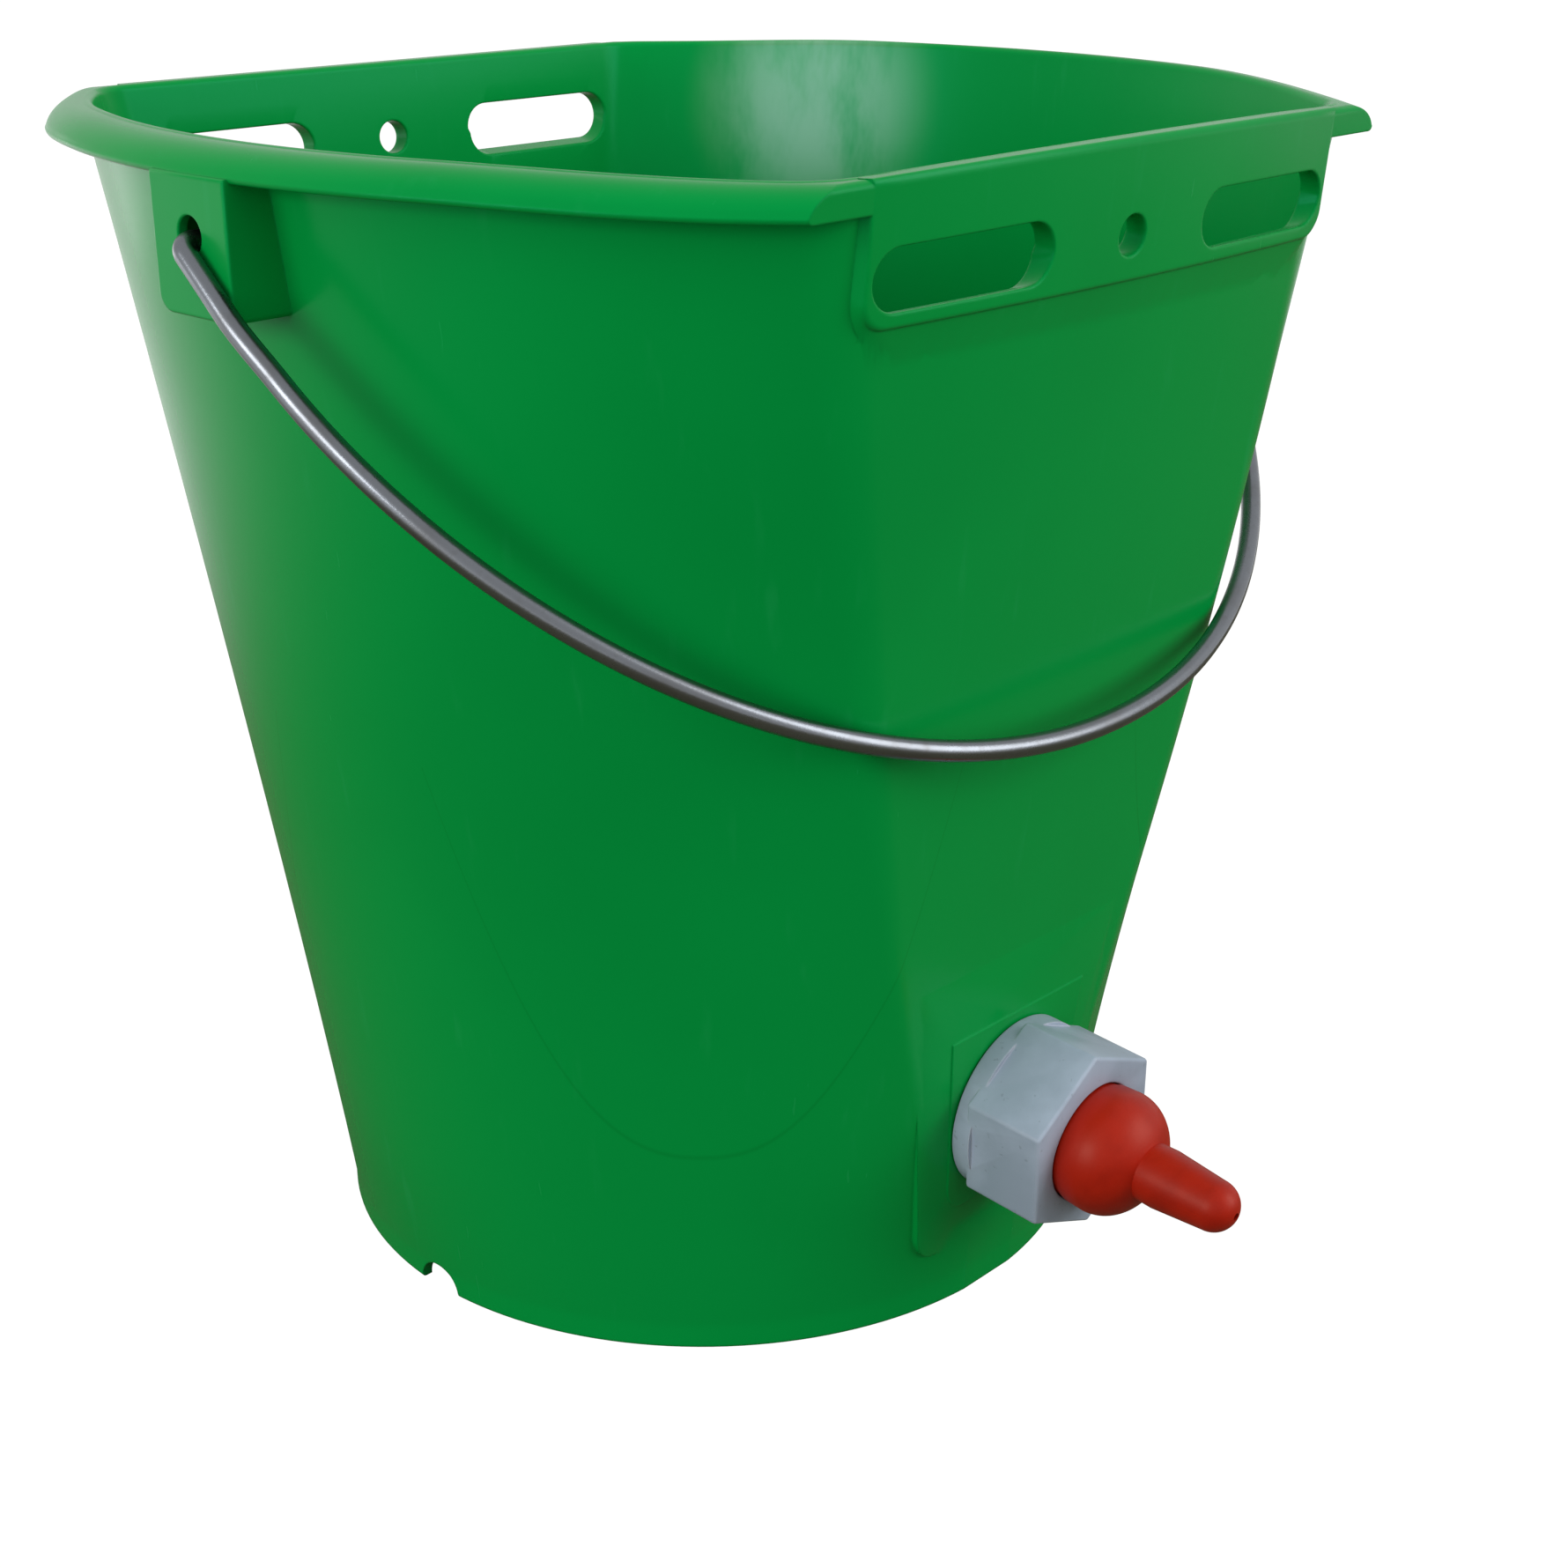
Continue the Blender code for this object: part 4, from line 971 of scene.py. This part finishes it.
def makeGrey():
    look = nutLook
    finish = Finish("greyPlastic", {"Specular IOR Level": look["specular"]})
    place = finish.place()
    cloud = finish.noise(place, *look["cloud"])
    fine = finish.noise(place, *look["fine"])
    speck = finish.noise(place, *look["speck"]).smooth(*look["speckRange"])
    soft = finish.add("Bevel", {"samples": look["edgeRays"]}, {"Radius": look["edge"]})
    # painted highlight: the hexagon's edges are painted pale, where the softened and the true
    # face differ
    facing = finish.vector("DOT_PRODUCT", soft, finish.add("NewGeometry", out="True Normal"))
    paintedEdgeHighlight = 1.0 - facing.smooth(*look["paintedEdgeHighlightRange"])
    colour = finish.blend(cloud.smooth(*look["cloudRange"]), look["grey"], look["pale"])
    colour = finish.blend(speck * look["speckShare"], colour, look["grime"])
    colour = finish.blend(paintedEdgeHighlight * look["paintedEdgeHighlightShare"], colour, look["paintedEdgeHighlight"])
    rough = look["rough"] + cloud * look["roughCloud"] + fine * look["roughFine"]
    normal = finish.bump(fine + cloud * look["bumpCloud"], *look["bump"], Normal=soft)
    return finish.feed(colour, rough, normal)


teatLook = {
    "red": (0.38, 0.012, 0.003), "dark": (0.27, 0.007, 0.002), "bloom": (0.48, 0.05, 0.03),
    "specular": 0.30, "sheen": (1.0, 0.62, 0.50),
    "cloud": (90.0, 4.0), "cloudRange": (0.4, 0.7), "cloudShare": 0.6,
    "fine": (1500.0, 3.0, 0.6), "bloomRange": (0.6, 0.75), "bloomShare": 0.12,
    "bump": (0.10, 0.0003), "bumpCloud": 1.5,
    "rough": 0.33, "roughCloud": 0.12, "roughFine": 0.08,
}


def makeRed():
    look = teatLook
    finish = Finish("redRubber", {"Specular IOR Level": look["specular"],
                                  "Specular Tint": look["sheen"]})
    place = finish.place()
    cloud = finish.noise(place, *look["cloud"])
    fine = finish.noise(place, *look["fine"])
    colour = finish.blend(cloud.smooth(*look["cloudRange"]) * look["cloudShare"],
                          look["red"], look["dark"])
    colour = finish.blend(fine.smooth(*look["bloomRange"]) * look["bloomShare"],
                          colour, look["bloom"])
    rough = look["rough"] + cloud * look["roughCloud"] + fine * look["roughFine"]
    normal = finish.bump(fine + cloud * look["bumpCloud"], *look["bump"])
    return finish.feed(colour, rough, normal)


valveLook = {  # the white parts inside the valve
    "light": (0.62, 0.64, 0.62), "dark": (0.54, 0.56, 0.54), "rough": 0.38,
}
gasketLook = {"light": (0.020, 0.020, 0.020), "dark": (0.030, 0.030, 0.028), "rough": 0.62}
plainLook = {
    "specular": 0.4, "cloud": (120.0, 3.0), "cloudRange": (0.35, 0.75), "roughCloud": 0.1,
    "fine": (1600.0, 2.0), "bump": (0.08, 0.0002),
}


def makePlain(name, shades):
    look = plainLook
    finish = Finish(name, {"Specular IOR Level": look["specular"]})
    place = finish.place()
    cloud = finish.noise(place, *look["cloud"])
    fine = finish.noise(place, *look["fine"])
    colour = finish.blend(cloud.smooth(*look["cloudRange"]), shades["light"], shades["dark"])
    return finish.feed(colour, shades["rough"] + cloud * look["roughCloud"],
                       finish.bump(fine, *look["bump"]))


green, zinc, grey, red = makeGreen(), makeZinc(), makeGrey(), makeRed()
white = makePlain("valvePlastic", valveLook)
black = makePlain("gasketRubber", gasketLook)
print("finishes made")

for maker, node, body, slotName, material in (
        (makeShell, "bucket_shell", "bucket", "green_shell", green),
        (makeBail, "bail_handle", "bail", "plated_wire", zinc),
        (makeNut, "union_nut", "nut", "grey_nut", grey),
        (makeTeat, "teat", "teat", "red_rubber", red)):
    piece = maker()
    piece.data.materials.clear()
    piece.data.materials.append(material)
    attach(piece, body)
    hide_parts(node)
    print("made", piece.name, len(piece.data.polygons), "faces")

for node, material in (("valve_body", white), ("ball_retainer", white), ("valve_ball", white),
                       ("inner_gasket", black)):
    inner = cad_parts[node]
    if not inner.material_slots:
        inner.data.materials.append(None)
    for holder in inner.material_slots:
        holder.material = material

# Floor, air and lamps
studio = {
    "floor": 6.0, "floorShade": (0.16, 0.15, 0.10), "floorRough": 0.9, "floorGlow": 1.26,
    "floorShare": 0.82, "mirrorPlace": (0.2, -0.45, 0.0), "mirrorNear": 0.80, "mirrorFar": 1.32,
    "world": 0.80, "worldMirror": 0.72,
}
lamps = {
    "windowLamp": {"place": (-1.6, 0.07, 0.60), "target": (0.10, 0.07, 0.25),
                   "size": (1.0, 0.55), "power": 10.5},
    "backLamp": {"place": (-0.35, 1.10, 0.10), "target": (-0.05, 0.0, 0.15),
                 "size": (0.9, 0.5), "power": 1.5},
    "fillLamp": {"place": (0.9, -1.6, 0.9), "target": (0.0, 0.0, 0.15),
                 "size": (1.2, 1.2), "power": 17.0},
}


def makeFloor():
    # pale to the camera and in reflections, darker as a source of light on the object
    mesh = bpy.data.meshes.new("studioFloor")
    size = studio["floor"]
    mesh.from_pydata([(-size, -size, 0), (size, -size, 0), (size, size, 0), (-size, size, 0)],
                     [], [(0, 1, 2, 3)])
    floor = linked("studioFloor", mesh)
    finish = Finish("paleFloor", {"Base Color": studio["floorShade"],
                                  "Roughness": studio["floorRough"], "Specular IOR Level": 0.0})
    glow = finish.add("Emission", values={"Strength": studio["floorGlow"]})
    away = finish.vector("DISTANCE", finish.place(), studio["mirrorPlace"])
    mirrored = finish.add("LightPath", out="Is Glossy Ray")
    mirrored = mirrored + finish.add("LightPath", out="Is Transmission Ray")
    seen = mirrored * away.smooth(studio["mirrorNear"], studio["mirrorFar"])
    seen = seen + finish.add("LightPath", out="Is Camera Ray")
    plain = Signal(finish, finish.shader.outputs[0])
    mixed = finish.add("MixShader", values={0: seen * studio["floorShare"], 1: plain, 2: glow})
    finish.fill(finish.tree.nodes["Material Output"], {"Surface": mixed})
    mesh.materials.append(finish.material)


def makeAir():
    # white to the camera, a little less as light and in reflections
    world = bpy.data.worlds.new("studioAir")
    bpy.context.scene.world = world
    air = Nodes(world)
    seen = air.add("LightPath", out="Is Camera Ray")
    seen = seen + air.add("LightPath", out="Is Transmission Ray")
    mirrored = air.add("LightPath", out="Is Glossy Ray")
    strength = seen * (1.0 - studio["world"]) + studio["world"]
    strength = strength + mirrored * (studio["worldMirror"] - studio["world"])
    air.fill(air.tree.nodes["Background"], {"Color": (1.0, 1.0, 1.0), "Strength": strength})


def makeLamp(name, setting):
    lamp = bpy.data.lights.new(name, "AREA")
    lamp.shape = "RECTANGLE"
    lamp.size, lamp.size_y = setting["size"]
    lamp.energy = setting["power"]
    holder = linked(name, lamp)
    holder.location = setting["place"]
    aim = Vector(setting["target"]) - Vector(setting["place"])
    holder.rotation_euler = aim.to_track_quat("-Z", "Y").to_euler()
    holder.visible_camera = False


makeFloor()
makeAir()
for name, setting in lamps.items():
    makeLamp(name, setting)
print("studio set")

# The camera stands where the picture was taken from
camera = {
    "place": (-0.4143, -0.3914, 0.3392), "forward": (0.6791, 0.6339, -0.3701),
    "lens": 55.94, "sensor": 36.0,
}
view = bpy.data.cameras.new("productView")
view.sensor_width = camera["sensor"]
view.lens = camera["lens"]
eye = linked("productView", view)
eye.location = camera["place"]
eye.rotation_euler = Vector(camera["forward"]).to_track_quat("-Z", "Y").to_euler()
bpy.context.scene.camera = eye
bpy.context.scene.view_settings.view_transform = "Standard"
print("camera set")
